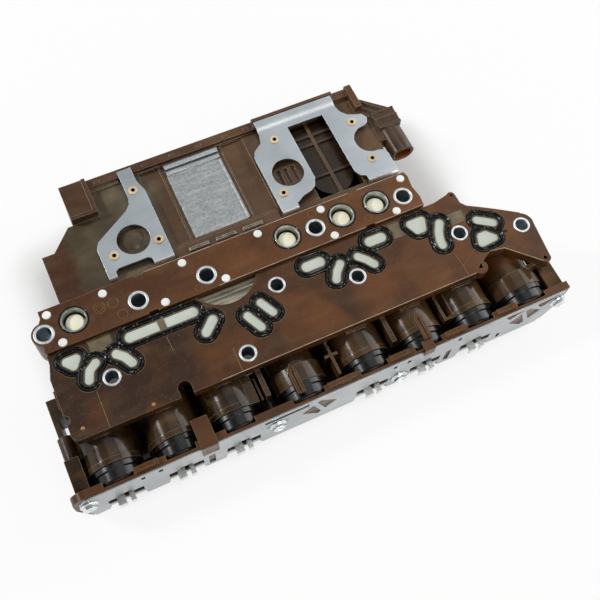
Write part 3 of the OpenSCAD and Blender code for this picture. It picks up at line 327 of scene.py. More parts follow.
def mill_aluminium(name):
    """Mill-finish aluminium plate: silver, finely mottled, with faint drag marks from handling."""
    made, tree, place = blank(name)
    rounded, rubbed_and_glint = rubbed_and_glinting_edges(tree, radius=0.3, most=0.3)
    mottle = add(tree, "TexNoise", {
        "Vector": place, "Scale": per_mm(1.0), "Detail": 4.0, "Distortion": 0.4})
    skew = add(tree, "Mapping", {
        "Vector": place, "Rotation": (0.0, 0.0, 0.5), "Scale": (0.15, 1.0, 1.0)})
    drag = add(tree, "TexNoise", {"Vector": skew, "Scale": per_mm(1.8), "Detail": 4.0})
    mottled = add(tree, "MapRange", {"Value": mottle, **WIDE})
    base = add(tree, "Mix", {SHARE: mottled, FROM: linear("#959a9c"), TO: linear("#bec2c3")}, **COLOUR)
    dragged = add(tree, "MapRange", {"Value": drag, "From Min": 0.5, "From Max": 0.75, "To Max": 0.35})
    base = add(tree, "Mix", {SHARE: dragged, FROM: base, TO: linear("#eceeef")}, **COLOUR)
    base = add(tree, "Mix", {SHARE: rubbed_and_glint, FROM: base, TO: linear("#f4f5f5")}, **COLOUR)
    gloss = add(tree, "MapRange", {"Value": mottle, **WIDE, "To Min": 0.38, "To Max": 0.48})
    grainy = add(tree, "Bump", {
        "Height": mottle, "Distance": 0.015 * MM, "Strength": 0.3, "Normal": rounded})
    shader = add(tree, "BsdfPrincipled", {
        "Base Color": base, "Metallic": 1.0, "Roughness": gloss, "Normal": grainy})
    add(tree, "OutputMaterial", {"Surface": shader})
    return made


def woven_screen(name):
    """Woven polyester screen: pale grey-green cloth with a fine square weave and faint oil clouds."""
    made, tree, place = blank(name)
    # The weave is about 0.1 mm. It is drawn at 0.8 mm so that it shows. A Wave texture turns by 20 radians
    # over each metre for each 1 of its scale.
    thread = 2 * math.pi / (20 * 0.8 * MM)
    rows = add(tree, "TexWave", {"Vector": place, "Scale": thread}, "Fac", bands_direction="X")
    columns = add(tree, "TexWave", {"Vector": place, "Scale": thread}, "Fac", bands_direction="Y")
    weave = add(tree, "Math", {0: rows, 1: columns}, operation="MULTIPLY")
    cloud = add(tree, "TexNoise", {"Vector": place, "Scale": per_mm(6), "Detail": 3.0})
    base = add(tree, "Mix", {SHARE: weave, FROM: linear("#c6cdc2"), TO: linear("#e2e8de")}, **COLOUR)
    clouded = add(tree, "MapRange", {"Value": cloud, "From Min": 0.4, "From Max": 0.7, "To Max": 0.35})
    base = add(tree, "Mix", {SHARE: clouded, FROM: base, TO: linear("#b9bfae")}, **COLOUR)
    woven = add(tree, "Bump", {"Height": weave, "Distance": 0.05 * MM, "Strength": 0.5})
    shader = add(tree, "BsdfPrincipled", {
        "Base Color": base, "Roughness": 0.7, "Normal": woven, "Specular IOR Level": 0.3})
    add(tree, "OutputMaterial", {"Surface": shader})
    return made


def filter_moulding(name):
    """Moulded nylon filter plate: dull grey tan, with a lined, silvery olive baffle low in it."""
    made, tree, place = blank(name)
    rounded, rubbed_and_glint = rubbed_and_glinting_edges(tree, radius=0.2, most=0.5)
    cloud = add(tree, "TexNoise", {"Vector": place, "Scale": per_mm(5), "Detail": 3.0})
    along = add(tree, "Mapping", {"Vector": place, "Scale": (0.08, 1.0, 1.0)})
    lines = add(tree, "TexNoise", {"Vector": along, "Scale": per_mm(1.2), "Detail": 2.0})
    z = add(tree, "SeparateXYZ", {"Vector": place}, "Z")
    low = add(tree, "MapRange", {"Value": z, **between("z", *BAFFLE_Z), **FALLING})
    cloudy = add(tree, "MapRange", {"Value": cloud, **WIDE})
    lined = add(tree, "MapRange", {"Value": lines, **NARROW})
    tan = add(tree, "Mix", {SHARE: cloudy, FROM: linear("#5c4e37"), TO: linear("#77694f")}, **COLOUR)
    olive = add(tree, "Mix", {SHARE: lined, FROM: linear("#66624f"), TO: linear("#aeaa97")}, **COLOUR)
    base = add(tree, "Mix", {SHARE: low, FROM: tan, TO: olive}, **COLOUR)
    base = add(tree, "Mix", {SHARE: rubbed_and_glint, FROM: base, TO: linear("#c9c2ad")}, **COLOUR)
    gloss = add(tree, "MapRange", {"Value": low, "To Min": 0.5, "To Max": 0.28})
    grainy = add(tree, "Bump", {
        "Height": cloud, "Distance": 0.02 * MM, "Strength": 0.3, "Normal": rounded})
    shader = add(tree, "BsdfPrincipled", {
        "Base Color": base, "Roughness": gloss, "Normal": grainy, "IOR": 1.5})
    add(tree, "OutputMaterial", {"Surface": shader})
    return made


def moulded_plastic(name, dark, light, rough):
    """Plain moulded plastic: an even skin with faint cloudiness and slightly lighter edges."""
    made, tree, place = blank(name)
    rounded, rubbed_and_glint = rubbed_and_glinting_edges(tree, radius=0.25, most=0.4)
    cloud = add(tree, "TexNoise", {"Vector": place, "Scale": per_mm(6), "Detail": 3.0})
    fine = add(tree, "TexNoise", {"Vector": place, "Scale": per_mm(0.7), "Detail": 2.0})
    cloudy = add(tree, "MapRange", {"Value": cloud, **WIDE})
    base = add(tree, "Mix", {SHARE: cloudy, FROM: linear(dark), TO: linear(light)}, **COLOUR)
    base = add(tree, "Mix", {SHARE: rubbed_and_glint, FROM: base, TO: linear(light)}, **COLOUR)
    gloss = add(tree, "MapRange", {
        "Value": cloud, **WIDE, "To Min": rough - 0.05, "To Max": rough + 0.07})
    grainy = add(tree, "Bump", {
        "Height": fine, "Distance": 0.02 * MM, "Strength": 0.25, "Normal": rounded})
    shader = add(tree, "BsdfPrincipled", {
        "Base Color": base, "Roughness": gloss, "Normal": grainy, "IOR": 1.5})
    add(tree, "OutputMaterial", {"Surface": shader})
    return made


# Brown satin plate, and in front of it darker olive sleeves that are wet with oil
carrier_nylon = oiled_nylon(
    "oiled_carrier_nylon", dark="#2f1803", light="#61370f", worn_and_glint="#cfb28a", rough=0.42,
    where=front_of_plate, over_dark="#1d1205", over_light="#583f24", over_rough=0.09)
# A drier, warmer brown with pale edges
strip_nylon = oiled_nylon(
    "oiled_strip_nylon", dark="#48270a", light="#693e15", worn_and_glint="#d2b48c", rough=0.4)
# An even brown with a soft sheen
frame_nylon = oiled_nylon(
    "oiled_frame_nylon", dark="#48290f", light="#5d3a1a", worn_and_glint="#a5804f", rough=0.34)
# Dark brown outside, with pale edges, and orange inside its socket
connector_nylon = oiled_nylon(
    "oiled_connector_nylon", dark="#352212", light="#49331f", worn_and_glint="#cdbda5", rough=0.3,
    where=inside_socket, over_dark="#8f4a22", over_light="#b5652f", over_rough=0.4)
# Brown with a grey-green film of dried oil, and painted nearly black as shade in its depths
deck_nylon = oiled_nylon(
    "oiled_deck_nylon", dark="#452712", light="#5a361b", worn_and_glint="#d2c2a6", rough=0.3,
    where=oil_film, over_dark="#453a29", over_light="#75694f", over_rough=0.24, shade_depth=SHADE_DEPTH_Z)
# Thin pale lines on the brown plate
flash_nylon = moulded_plastic("pale_nylon_flash", "#7d5427", "#a0733e", 0.35)
# A bright line where a long edge catches the light
edge_highlight_nylon = moulded_plastic("painted_edge_highlight_nylon", "#8a6f52", "#d9c8ae", 0.3)
# Small amber domes with a glint
gate_nylon = moulded_plastic("amber_gate_nylon", "#95602d", "#c68a50", 0.22)
# Wet black beads with painted glints
rubber = moulded_rubber("moulded_nitrile_rubber")
# Soft white-grey rims
zinc = plated_steel("zinc_plated_steel", "#cbd1d4", "#eceff0", 0.42)
# Sparkling screw heads
bright_zinc = plated_steel("bright_zinc_steel", "#c9cfd2", "#f4f7f8", 0.2)
# Cans painted dark as shade, since they sit in the shade
drawn_steel = plated_steel("shade_dark_drawn_steel", "#53554f", "#83857c", 0.24)
# Dull blue-grey walls of the bolt holes, painted darker than the rims as shade
bore_shade_steel = plated_steel("painted_shade_bore_steel", "#7b898f", "#a9b5ba", 0.45)
# Greenish grey cup walls with sharp reflections
cup_steel = plated_steel("oily_cup_steel", "#878a82", "#c0c3bb", 0.2)
# Clean, shiny turned steel
ground_steel = plated_steel("ground_steel", "#b8bcbd", "#dfe2e2", 0.2)
# Nearly white blades
tinned = plated_steel("tinned_copper_blade", "#dfe2dc", "#f6f8f4", 0.5)
# Dull bars between grey and tan
weld_bronze = plated_steel("dull_weld_bronze", "#7c7666", "#a8a291", 0.4)
# Blue-grey brackets with painted white highlights on the bends
bracket_sheet = rolled_sheet("rolled_bracket_steel", "#acb5ba", "#c3cbd0", 0.42)
# A plain grey cover
cover_sheet = rolled_sheet("rolled_cover_steel", "#a0a3a4", "#c1c4c5", 0.4)
# A mottled silver plate
aluminium = mill_aluminium("mill_aluminium")
# Pale cloth in the windows
screen = woven_screen("woven_polyester_screen")
# Dull tan borders round the cloth
filter_tan = filter_moulding("tan_filter_nylon")
# Black, shiny caps
cap_black = moulded_plastic("black_cap_nylon", "#050506", "#0e0f10", 0.2)
# White dots
stake_white = moulded_plastic("white_stake_nylon", "#e9ebe8", "#fafbf9", 0.4)
# Cream discs with a soft sheen
disc_cream = moulded_plastic("cream_disc_polyimide", "#fbf3cf", "#fffcec", 0.3)
# Painted shade: dark holes in the eyelets
painted_shade_bore = moulded_plastic("painted_shade_in_bore", "#150e08", "#241810", 0.3)
# Tan rings on the brackets
eyelet_tan = moulded_plastic("tan_lacquered_eyelet", "#cdae82", "#e6d1ad", 0.32)
# Yellow metal deep in the socket
pin_brass = plated_steel("plain_brass_pin", "#a9853f", "#d9bd78", 0.28)
# Red-brown metal with a sheen
coil_copper = plated_steel("enamelled_copper", "#7d3d19", "#b9642f", 0.35)
# A green board
laminate = moulded_plastic("green_board_laminate", "#244a31", "#35684a", 0.35)

BY_SLOT = {
    "carrier_plastic": carrier_nylon, "filter_plastic": filter_tan, "filter_mesh": screen,
    "bead_rubber": rubber, "bushing_steel": zinc, "can_steel": drawn_steel, "cap_plastic": cap_black,
    "spool_steel": ground_steel, "coil_copper": coil_copper, "frame_plastic": frame_nylon,
    "cover_steel": cover_sheet, "tinned_blade": tinned, "screw_zinc": bright_zinc,
    "stake_plastic": stake_white, "cup_steel": cup_steel, "disc_plastic": disc_cream,
    "housing_plastic": deck_nylon, "plate_aluminium": aluminium, "board_laminate": laminate,
    "bracket_steel": bracket_sheet, "rivet_brass": eyelet_tan, "pin_brass": pin_brass,
}
BY_NODE = {
    "switch_strip": strip_nylon, "connector_shell": connector_nylon, "terminal_bars": weld_bronze,
}
for sub in RECORD["subparts"]:
    mesh = NODES[sub["node"]].data
    mesh.materials.clear()
    mesh.materials.append(BY_NODE.get(sub["node"], BY_SLOT[sub["material_slot"]]))

# Edges that turn less than this are drawn smooth
CREASE = math.radians(38)


def piece(name, bm, materials, slot, *nodes):
    """Makes a piece of the body from a mesh, in place of the nodes that it stands for."""
    bmesh.ops.recalc_face_normals(bm, faces=bm.faces[:])
    for edge in bm.edges:
        edge.smooth = edge.calc_face_angle(0.0) < CREASE
    mesh = bpy.data.meshes.new(name)
    bm.to_mesh(mesh)
    bm.free()
    for material in materials:
        mesh.materials.append(material)
    made = bpy.data.objects.new(name, mesh)
    bpy.context.scene.collection.objects.link(made)
    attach(made, "body")
    if nodes:
        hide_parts(*nodes)


def around(count):
    """Angles of so many even steps round a circle."""
    return [2 * math.pi * k / count for k in range(count)]


def quarter(x, y, rx, ry, steps=5):
    """Points of a quarter round from (x + rx, y) to (x, y + ry)."""
    turns = [math.pi / 2 * k / steps for k in range(steps + 1)]
    return [(x + rx * math.cos(a), y + ry * math.sin(a)) for a in turns]


def turned(bm, profile, centre, axis=(0, 0, 1), sides=40, closed=False):
    """Turns a profile of (radius, height) points, in millimetres, about an axis through a centre."""
    turn = Vector((0, 0, 1)).rotation_difference(Vector(axis)).to_matrix()
    rings = []
    for radius, height in profile:
        angles = around(sides if radius else 1)
        spots = [turn @ Vector((radius * math.cos(a), radius * math.sin(a), height)) for a in angles]
        rings.append([bm.verts.new(at(*(Vector(centre) + spot))) for spot in spots])
    pairs = list(zip(rings, rings[1:])) + ([(rings[-1], rings[0])] if closed else [])
    for low, high in pairs:
        for k in range(sides):
            n = (k + 1) % sides
            quad = [low[k % len(low)], low[n % len(low)], high[n % len(high)], high[k % len(high)]]
            bm.faces.new(list(dict.fromkeys(quad))).smooth = True


# Filter windows: centre line, width, and whether the line is filled, in millimetres
WINDOWS = {
    "seal_left": [
        ([(-102.9, 14.2), (-98.6, 14.2), (-100.6, 11.3)], 4, True),
        ([(-91.8, 9), (-95.2, 6.6), (-96.8, 2.6)], 4, False),
        ([(-82.4, 9.2), (-79.6, 6.6), (-77.6, 2.8)], 4.2, False),
        ([(-74.4, 14), (-45.4, 14)], 4.9, False),
        ([(-38.8, 7.2), (-43.6, 2.8)], 4.5, False)],
    "seal_centre": [
        ([(-24.2, 2.6), (-20.8, -4.6)], 4, False),
        ([(-16.4, 6.2), (-13.2, -0.2)], 3.8, False)],
    "seal_middle": [
        ([(9.8, 13.8), (16.3, 13.8)], 5, False),
        ([(24.4, 9.2), (21.4, 6.2), (19.4, 2.8)], 4, False),
        ([(33.4, 9.2), (36.4, 6.2), (38.6, 2.8)], 4, False),
        ([(41.9, 13.8), (47.7, 13.8)], 5, False)],
    "seal_right": [
        ([(63.3, 14.3), (69.2, 14.3), (67.6, 10.2), (65, 10.2)], 4, True),
        ([(76.2, 9.4), (73.7, 5.5), (72.2, 1.4), (72, -1.2)], 4.3, False)],
    "seal_far_right": [
        ([(93.2, 3.8), (99.4, -0.4)], 4.2, False),
        ([(90.6, -4.6), (93.2, -4.6), (95.8, -7.4), (89.4, -7.8)], 4, True)],
}
# Small lugs moulded on the outside of a bead: place, radius
LUGS = {
    "seal_left": [((-78.4, -2.2), 1.0), ((-79.6, -2.9), 0.7)],
    "seal_far_right": [
        ((93.9, 9.0), 1.1), ((101.6, 4.4), 1.1), ((101.2, -6.6), 1.0), ((102.6, -6.9), 0.7)],
}
# A bead starts a lip's width from its window and stands on the filter plate.
BEAD_LIP, BEAD_W = 0.5, 2.7
BEAD_FOOT = corners("seal_left")[0].z
BEAD_H = corners("seal_left")[1].z - BEAD_FOOT
# Spacing of the mesh and the room round the windows that it searches
BEAD_GRID, BEAD_ROOM = 0.22, 8
# Mean height of the two ridges, their swing, and the place of the first across the bead, as shares
RIDGE_MEAN, RIDGE_SWING, FIRST_RIDGE = 0.74, 0.26, 0.25
# How far the mesh goes past the bead's sides, as a share of its width
BEAD_SPILL = 0.06
# How far the bead sits in the filter plate, and how far its skirt goes down
BEAD_SINK, BEAD_SKIRT = 0.02, 0.2
# Height of a lug, and how far its mesh goes, as a share of its radius
LUG_H, LUG_SPILL = 0.9, 1.1


def window_distance(px, py, line, width, filled):
    """Distance of each point from the edge of a filter window, negative inside it."""
    ends = list(zip(line, line[1:] + line[:1])) if filled else list(zip(line, line[1:]))
    best = np.full(px.shape, np.inf)
    inside = np.zeros(px.shape, bool)
    for (ax, ay), (bx, by) in ends:
        dx, dy = bx - ax, by - ay
        t = np.clip(((px - ax) * dx + (py - ay) * dy) / (dx * dx + dy * dy), 0, 1)
        best = np.minimum(best, np.hypot(px - ax - t * dx, py - ay - t * dy))
        # A level side is never crossed, so it is divided by 1 instead of 0.
        inside ^= ((ay > py) != (by > py)) & (px < dx * (py - ay) / (dy or 1) + ax)
    best = np.where(inside & filled, -best, best)
    return best - width / 2


def bead(node):
    """Rubber bead with two rounded ridges, as a fine height field round its group of windows."""
    points = np.array([p for line, _, _ in WINDOWS[node] for p in line])
    low, high = points.min(0) - BEAD_ROOM, points.max(0) + BEAD_ROOM
    px, py = np.meshgrid(
        np.arange(low[0], high[0], BEAD_GRID), np.arange(low[1], high[1], BEAD_GRID), indexing="ij")
    distance = np.min([window_distance(px, py, *w) for w in WINDOWS[node]], axis=0)
    across = (distance - BEAD_LIP) / BEAD_W
    body = np.sqrt(np.clip(1 - np.abs(2 * across - 1) ** 3, 0, 1))
    ridges = RIDGE_MEAN + RIDGE_SWING * np.cos(4 * math.pi * (across - FIRST_RIDGE))
    height = np.where((across > 0) & (across < 1), BEAD_H * body * ridges, 0)
    used = (across > -BEAD_SPILL) & (across < 1 + BEAD_SPILL)
    outside = across > 0.5
    for (lx, ly), radius in LUGS.get(node, []):
        far = np.hypot(px - lx, py - ly) / radius
        dome = LUG_H * np.sqrt(np.clip(1 - far ** 2, 0, 1))
        height = np.maximum(height, np.where(outside, dome, 0))
        used |= (far < LUG_SPILL) & outside
    pz = BEAD_FOOT + height - BEAD_SINK
    cells = used[:-1, :-1] & used[1:, :-1] & used[1:, 1:] & used[:-1, 1:]
    bm = bmesh.new()
    corner = {}
    for i, j in zip(*np.nonzero(cells)):
        quad = []
        for key in ((i, j), (i + 1, j), (i + 1, j + 1), (i, j + 1)):
            if key not in corner:
                corner[key] = bm.verts.new(at(px[key], py[key], pz[key]))
            quad.append(corner[key])
        bm.faces.new(quad).smooth = True
    skirt = bmesh.ops.extrude_face_region(bm, geom=bm.faces[:], use_keep_orig=True)
    under = at(0, 0, BEAD_FOOT - BEAD_SKIRT).z
    for part in skirt["geom"]:
        if isinstance(part, bmesh.types.BMVert):
            part.co.z = under
    piece("bead_" + node, bm, [rubber], "bead_rubber", node)


for name in WINDOWS:
    bead(name)

# Bushings: rounding of the rim, and depth, half width, spacing and first place of the bore's grooves
RIM, GROOVE, GROOVE_HALF, GROOVE_PITCH, FIRST_GROOVE = 0.35, 0.14, 0.3, 1.2, 1.4


def rolled_bushings(node, group):
    """Bushings of a group of bolts, with rounded rims, shallow rolled grooves down the bore, and the bore
    painted darker as shade.
    """
    low, high = corners(node)
    places, bore = bolts(group)
    outer = min(x for x, _ in places) - low.x
    shoulder = high.z - RIM
    profile = [(outer, low.z)] + quarter(outer - RIM, shoulder, RIM, RIM)
    profile += reversed(quarter(bore + RIM, shoulder, -RIM, RIM))
    level = high.z - FIRST_GROOVE
    while level > low.z + GROOVE_PITCH:
        profile += [(bore, level), (bore + GROOVE, level - GROOVE_HALF), (bore, level - 2 * GROOVE_HALF)]
        level -= GROOVE_PITCH
    profile += [(bore, low.z)]
    bm = bmesh.new()
    for x, y in places:
        turned(bm, profile, (x, y, 0), closed=True)
        middle = at(x, y, shoulder)
        for face in bm.faces:
            spot = face.calc_center_median()
            # Faces down the bore take the darker steel, painted shade
            if (spot.xy - middle.xy).length < (bore + GROOVE) * MM and spot.z < middle.z:
                face.material_index = 1
    piece(node + "_rolled", bm, [zinc, bore_shade_steel], "bushing_steel", node)


rolled_bushings("plate_bushings", "plate_bolt")
rolled_bushings("strip_bushings", "strip_bolt")

# Heat stakes: the rear row, the front row, radius, radius of the flat crown and drop of the rounded rim
STAKES = [(x, 37.1) for x in (-103.4, -78.1, -40.9, -4, 27.9, 69.8)]
STAKES += [(x, 22.2) for x in (-101.1, -54.6, -26, 27.9, 60)]
STAKE_R, STAKE_CROWN, STAKE_DROP = 1.9, 0.9, 0.35


def heat_stakes():
    """Heads of the heat stakes, melted to low domes with a flat crown."""
    low, high = corners("strip_stakes")
    rim = quarter(STAKE_CROWN, high.z - STAKE_DROP, STAKE_R - STAKE_CROWN, STAKE_DROP)
    bm = bmesh.new()
    for x, y in STAKES:
        turned(bm, [(0, low.z), (STAKE_R, low.z)] + rim + [(0, high.z)], (x, y, 0))
    piece("melted_stakes", bm, [stake_white], "stake_plastic", "strip_stakes")


heat_stakes()

# Screws of the lead frame, along the row and in height
FRAME_SCREWS = [(-115.5, -15), (-30, -18), (31.1, -25.5), (114, -16)]
# Profiles of a screw's washer face, hexagon and shank as radius and height, with their number of sides
SCREW_PROFILES = [
    ([(0, 0), (4, 0), (4, 0.45), (3.6, 0.9), (2.6, 1.05), (0, 1.05)], 32),
    ([(3.1, 0.6), (3.1, 2.2), (2.6, 2.6), (1.7, 2.6), (1.2, 2.15), (0, 2.15)], 6),
    ([(0, -13), (1.5, -13), (1.9, -12.4), (1.9, 0.2)], 24),
]


def flange_screws():
    """Hex flange screws: a dished washer face, a chamfered hexagon with a dimple, and the shank."""
    bm = bmesh.new()
    for x, z in FRAME_SCREWS:
        for profile, sides in SCREW_PROFILES:
            turned(bm, profile, (x, COVER_FRONT, z), axis=(0, -1, 0), sides=sides)
    piece("flange_screws", bm, [bright_zinc], "screw_zinc", "cover_screws")


flange_screws()

RIVETS = [
    (-46.6, 86.3), (-66.6, 56.9), (-45, 56.8), (26.8, 86), (18.2, 56.4), (66.5, 80.3), (66.2, 57.1)]
# Eyelets: radii of the shank, bore and head, thickness of the head, and rounding of its edge and mouth
SHANK_R, EYE_R, HEAD_R, HEAD_T, HEAD_ROUND, MOUTH_ROUND = 1.5, 0.9, 2.3, 0.5, 0.3, 0.25
# Faces nearer to the axis than this are the bore, painted dark as shade
EYE_REACH = 1.0


def eyelets():
    """Eyelets with a flat head, rounded at its edge and at the bore, on a hollow shank."""
    bm = bmesh.new()
    low = DECK_TOP - BRACKET_TOP
    head = quarter(HEAD_R - HEAD_ROUND, HEAD_T - HEAD_ROUND, HEAD_ROUND, HEAD_ROUND)
    mouth = quarter(EYE_R + MOUTH_ROUND, HEAD_T - MOUTH_ROUND, -MOUTH_ROUND, MOUTH_ROUND)
    profile = [(SHANK_R, low), (SHANK_R, 0), (HEAD_R, 0)] + head + mouth[::-1] + [(EYE_R, low)]
    for x, y in RIVETS:
        turned(bm, profile, (x, y, BRACKET_TOP), sides=28, closed=True)
        middle = at(x, y, BRACKET_TOP)
        for face in bm.faces:
            if (face.calc_center_median().xy - middle.xy).length < EYE_REACH * MM:
                face.material_index = 1
    piece("flat_eyelets", bm, [eyelet_tan, painted_shade_bore], "rivet_brass", "bracket_rivets")


eyelets()

# Thin raised lines and rings left by the mould, and pale raised lines that paint a highlight along long
# edges: width, height, and how far they sit in their face
LINE_W, LINE_H = 0.34, 0.06
HIGHLIGHT_W, HIGHLIGHT_H = 0.42, 0.07
RING_W, RING_H = 0.3, 0.07
MARK_SINK = 0.02
WITNESS_LINES = [
    [(-95.5, -3.4), (-95.8, -20.4)], [(-60, 7.6), (-59.7, 0.4)], [(-36.1, -9), (-36.4, -20.2)],
    [(84.4, -9.2), (75.2, -14.9)], [(74.8, -7.8), (75.2, -14.9)], [(75.2, -14.9), (75.2, -20.4)],
]
# The painted edge highlight runs this far inside an edge and stops at the notches.
HIGHLIGHT_INSET = 0.24
PLATE_HIGHLIGHT_Y = PLATE_FRONT + HIGHLIGHT_INSET
STRIP_HIGHLIGHT_Y, STRIP_BACK_HIGHLIGHT_Y = STRIP_FRONT + HIGHLIGHT_INSET, STRIP_REAR - HIGHLIGHT_INSET
# Painted highlights: pale raised lines where the long edges of the plate and strip catch the light
EDGE_HIGHLIGHTS = {
    "plate_edge_painted_highlight": (PLATE_TOP, [
        [(-46, PLATE_HIGHLIGHT_Y), (78.6, PLATE_HIGHLIGHT_Y)],
        [(90.6, -13.1), (97.4, -14.4)], [(97.4, -14.4), (110.6, -27.4)]]),
    "strip_edge_painted_highlight": (STRIP_TOP, [
        [(-30, STRIP_HIGHLIGHT_Y), (42.9, STRIP_HIGHLIGHT_Y)], [(47.9, STRIP_HIGHLIGHT_Y), (73, STRIP_HIGHLIGHT_Y)],
        [(-58, STRIP_BACK_HIGHLIGHT_Y), (42.9, STRIP_BACK_HIGHLIGHT_Y)], [(47.9, STRIP_BACK_HIGHLIGHT_Y), (72.6, STRIP_BACK_HIGHLIGHT_Y)]]),
}
# Ejector rings: place and radius
EJECTOR_RINGS = [
    (-81.6, 31.1, 2.5), (-81.6, 31.1, 1.5), (-75.5, 31.1, 2.3), (-73.4, 24.4, 2.2),
    (-38.9, 22.6, 1.5), (23.0, 36.6, 2.0), (46, 24.2, 1.6),
]
RING_SIDES = 32
# Gate stubs: places, radius and height
GATE_STUBS = [(-106, -16.3), (-76, -18.6)]
STUB_R, STUB_H = 0.95, 0.5


def ridge(bm, line, z, width, height, closed=False):
    """A low raised line along points of a level face."""
    ends = []
    count = len(line)
    for k in range(count):
        before = Vector(line[(k - 1) % count if closed else max(k - 1, 0)])
        after = Vector(line[(k + 1) % count if closed else min(k + 1, count - 1)])
        run = (after - before).normalized()
        side = Vector((-run.y, run.x)) * (width / 2)
        here = Vector(line[k])
        spots = [(here + side, -MARK_SINK), (here, height), (here - side, -MARK_SINK)]
        ends.append([bm.verts.new(at(p.x, p.y, z + h)) for p, h in spots])
    pairs = list(zip(ends, ends[1:])) + ([(ends[-1], ends[0])] if closed else [])
    for a, b in pairs:
        for k in range(3):
            bm.faces.new([a[k], b[k], b[(k + 1) % 3], a[(k + 1) % 3]])
    if not closed:
        bm.faces.new(ends[0])
        bm.faces.new(ends[-1])


def mould_marks_and_edge_highlights():
    """Witness lines, painted edge highlights and gate stubs on the plate, and rings and painted edge
    highlights on the strip.
    """
    bm = bmesh.new()
    for line in WITNESS_LINES:
        ridge(bm, line, PLATE_TOP, LINE_W, LINE_H)
    piece("plate_witness_lines", bm, [flash_nylon], "carrier_plastic")
    for name, (z, lines) in EDGE_HIGHLIGHTS.items():
        bm = bmesh.new()
        for line in lines:
            ridge(bm, line, z, HIGHLIGHT_W, HIGHLIGHT_H)
        piece(name, bm, [edge_highlight_nylon], "carrier_plastic")
    bm = bmesh.new()
    for x, y, radius in EJECTOR_RINGS:
        ring = [(x + radius * math.cos(a), y + radius * math.sin(a)) for a in around(RING_SIDES)]
        ridge(bm, ring, STRIP_TOP, RING_W, RING_H, closed=True)
    piece("strip_ejector_rings", bm, [flash_nylon], "carrier_plastic")
    bm = bmesh.new()
    dome = quarter(0, MARK_SINK, STUB_R, STUB_H)[:-1] + [(0, MARK_SINK + STUB_H)]
    for x, y in GATE_STUBS:
        turned(bm, [(0, 0)] + dome, (x, y, PLATE_TOP), sides=24)
    piece("plate_gate_stubs", bm, [gate_nylon], "carrier_plastic")


mould_marks_and_edge_highlights()

# Half width of the floor and height of its walls, in metres
FLOOR_HALF, WALL_H = 4.0, 2.5
# Half size of the floor's shadowed middle and the width of the fade round it, in metres
SHADOW_HALF, SHADOW_FADE = (0.095, 0.05, 0), 0.026
# Share of plain white in the middle and away from it
WHITE_UNDER, WHITE_AWAY = 0.06, 0.88
# Strength of the light from all round
ROOM_LIGHT = 0.22
# Lamps: name, place in metres, size in metres and power in watts
LAMPS = [
    ("key_softbox", (-0.85, 0.46, 0.82), 0.18, 8.0),
    ("front_softbox", (0.25, -0.92, 0.40), 0.30, 1.8),
    ("top_softbox", (0.23, -0.28, 1.15), 0.24, 1.3),
    ("side_softbox", (0.80, 0.16, 0.48), 0.70, 3.6),
    ("overhead_panel", (0.32, 0.48, 1.10), 0.85, 1.5),
]
LAMP_AIM = Vector((0, 0, 0.02))


def white_paper():
    """Matte paper that is plain white to the eye and in mirrors, and keeps a soft shadow at the part."""
    made, tree, place = blank("white_paper_floor")
    lit = add(tree, "BsdfPrincipled", {
        "Base Color": linear("#f6f6f5"), "Roughness": 0.9, "Specular IOR Level": 0.1})
    white = add(tree, "Emission", {"Color": linear("#ffffff"), "Strength": 1.0})
    seen = add(tree, "LightPath", out="Is Camera Ray")
    mirrored = add(tree, "LightPath", out="Is Glossy Ray")
    through = add(tree, "LightPath", out="Is Transmission Ray")
    either = add(tree, "Math", {0: seen, 1: mirrored}, operation="MAXIMUM")
    either = add(tree, "Math", {0: either, 1: through}, operation="MAXIMUM")
    # Away from the part most of the floor that is seen is plain white. Under it nearly all is shadow.
    beside = add(tree, "VectorMath", {0: place}, operation="ABSOLUTE")
    beside = add(tree, "VectorMath", {0: beside, 1: SHADOW_HALF}, operation="SUBTRACT")
    beside = add(tree, "VectorMath", {0: beside, 1: (0, 0, 0)}, operation="MAXIMUM")
    away = add(tree, "VectorMath", {0: beside}, "Value", operation="LENGTH")
    plain = add(tree, "MapRange", {
        "Value": away, "From Max": SHADOW_FADE, "To Min": WHITE_UNDER, "To Max": WHITE_AWAY,
    }, interpolation_type="SMOOTHSTEP")
    share = add(tree, "Math", {0: either, 1: plain}, operation="MULTIPLY")
    both = add(tree, "MixShader", {0: share, 1: lit, 2: white})
    add(tree, "OutputMaterial", {"Surface": both})
    return made


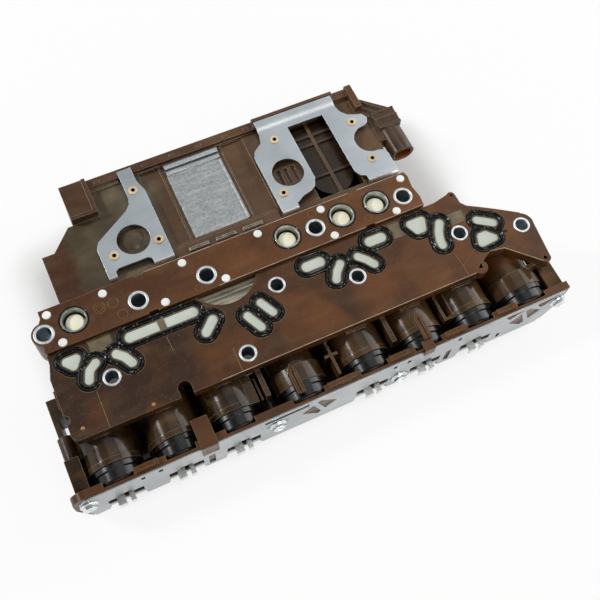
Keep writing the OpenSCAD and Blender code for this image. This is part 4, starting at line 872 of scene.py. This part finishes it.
def paper_floor():
    """A wide floor that turns up into four walls."""
    half = FLOOR_HALF
    square = [(-half, -half), (half, -half), (half, half), (-half, half)]
    walls = [(k, (k + 1) % 4, 4 + (k + 1) % 4, 4 + k) for k in range(4)]
    mesh = bpy.data.meshes.new("floor")
    mesh.from_pydata([(x, y, z) for z in (0, WALL_H) for x, y in square], [], [(0, 1, 2, 3)] + walls)
    mesh.materials.append(white_paper())
    floor = bpy.data.objects.new("floor", mesh)
    bpy.context.scene.collection.objects.link(floor)


def room_and_lamps():
    """A dim white room and five soft lamps."""
    world = bpy.data.worlds.new("studio")
    world.use_nodes = True
    world.node_tree.nodes["Background"].inputs["Color"].default_value = linear("#ffffff")
    world.node_tree.nodes["Background"].inputs["Strength"].default_value = ROOM_LIGHT
    bpy.context.scene.world = world
    for name, place, size, power in LAMPS:
        data = bpy.data.lights.new(name, "AREA")
        data.size = size
        data.energy = power
        lamp = bpy.data.objects.new(name, data)
        lamp.location = place
        lamp.rotation_euler = (LAMP_AIM - Vector(place)).to_track_quat("-Z", "Y").to_euler()
        bpy.context.scene.collection.objects.link(lamp)


# The photograph's own view, solved from flat features of the part: place in millimetres of the datum,
# three directions, and sensor and focal length in millimetres
EYE = (-82.5, -139.8, 349.0)
RIGHT = Vector((0.90419, -0.42492, 0.04350))
DOWN = Vector((-0.36950, -0.82921, -0.41939))
AHEAD = Vector((0.21428, 0.36313, -0.90677))
SENSOR, FOCAL = 36.0, 52.19
# Nearest thing that is drawn, in metres
NEAREST = 0.01


def camera():
    """The camera of the photograph."""
    data = bpy.data.cameras.new("camera")
    data.sensor_width = SENSOR
    data.lens = FOCAL
    data.clip_start = NEAREST
    made = bpy.data.objects.new("camera", data)
    turn = Matrix((RIGHT, -DOWN, -AHEAD)).transposed().to_4x4()
    made.matrix_world = Matrix.Translation(at(*EYE)) @ turn
    bpy.context.scene.collection.objects.link(made)
    bpy.context.scene.camera = made


bpy.context.scene.view_settings.view_transform = "Standard"
paper_floor()
room_and_lamps()
camera()
bpy.context.view_layer.update()
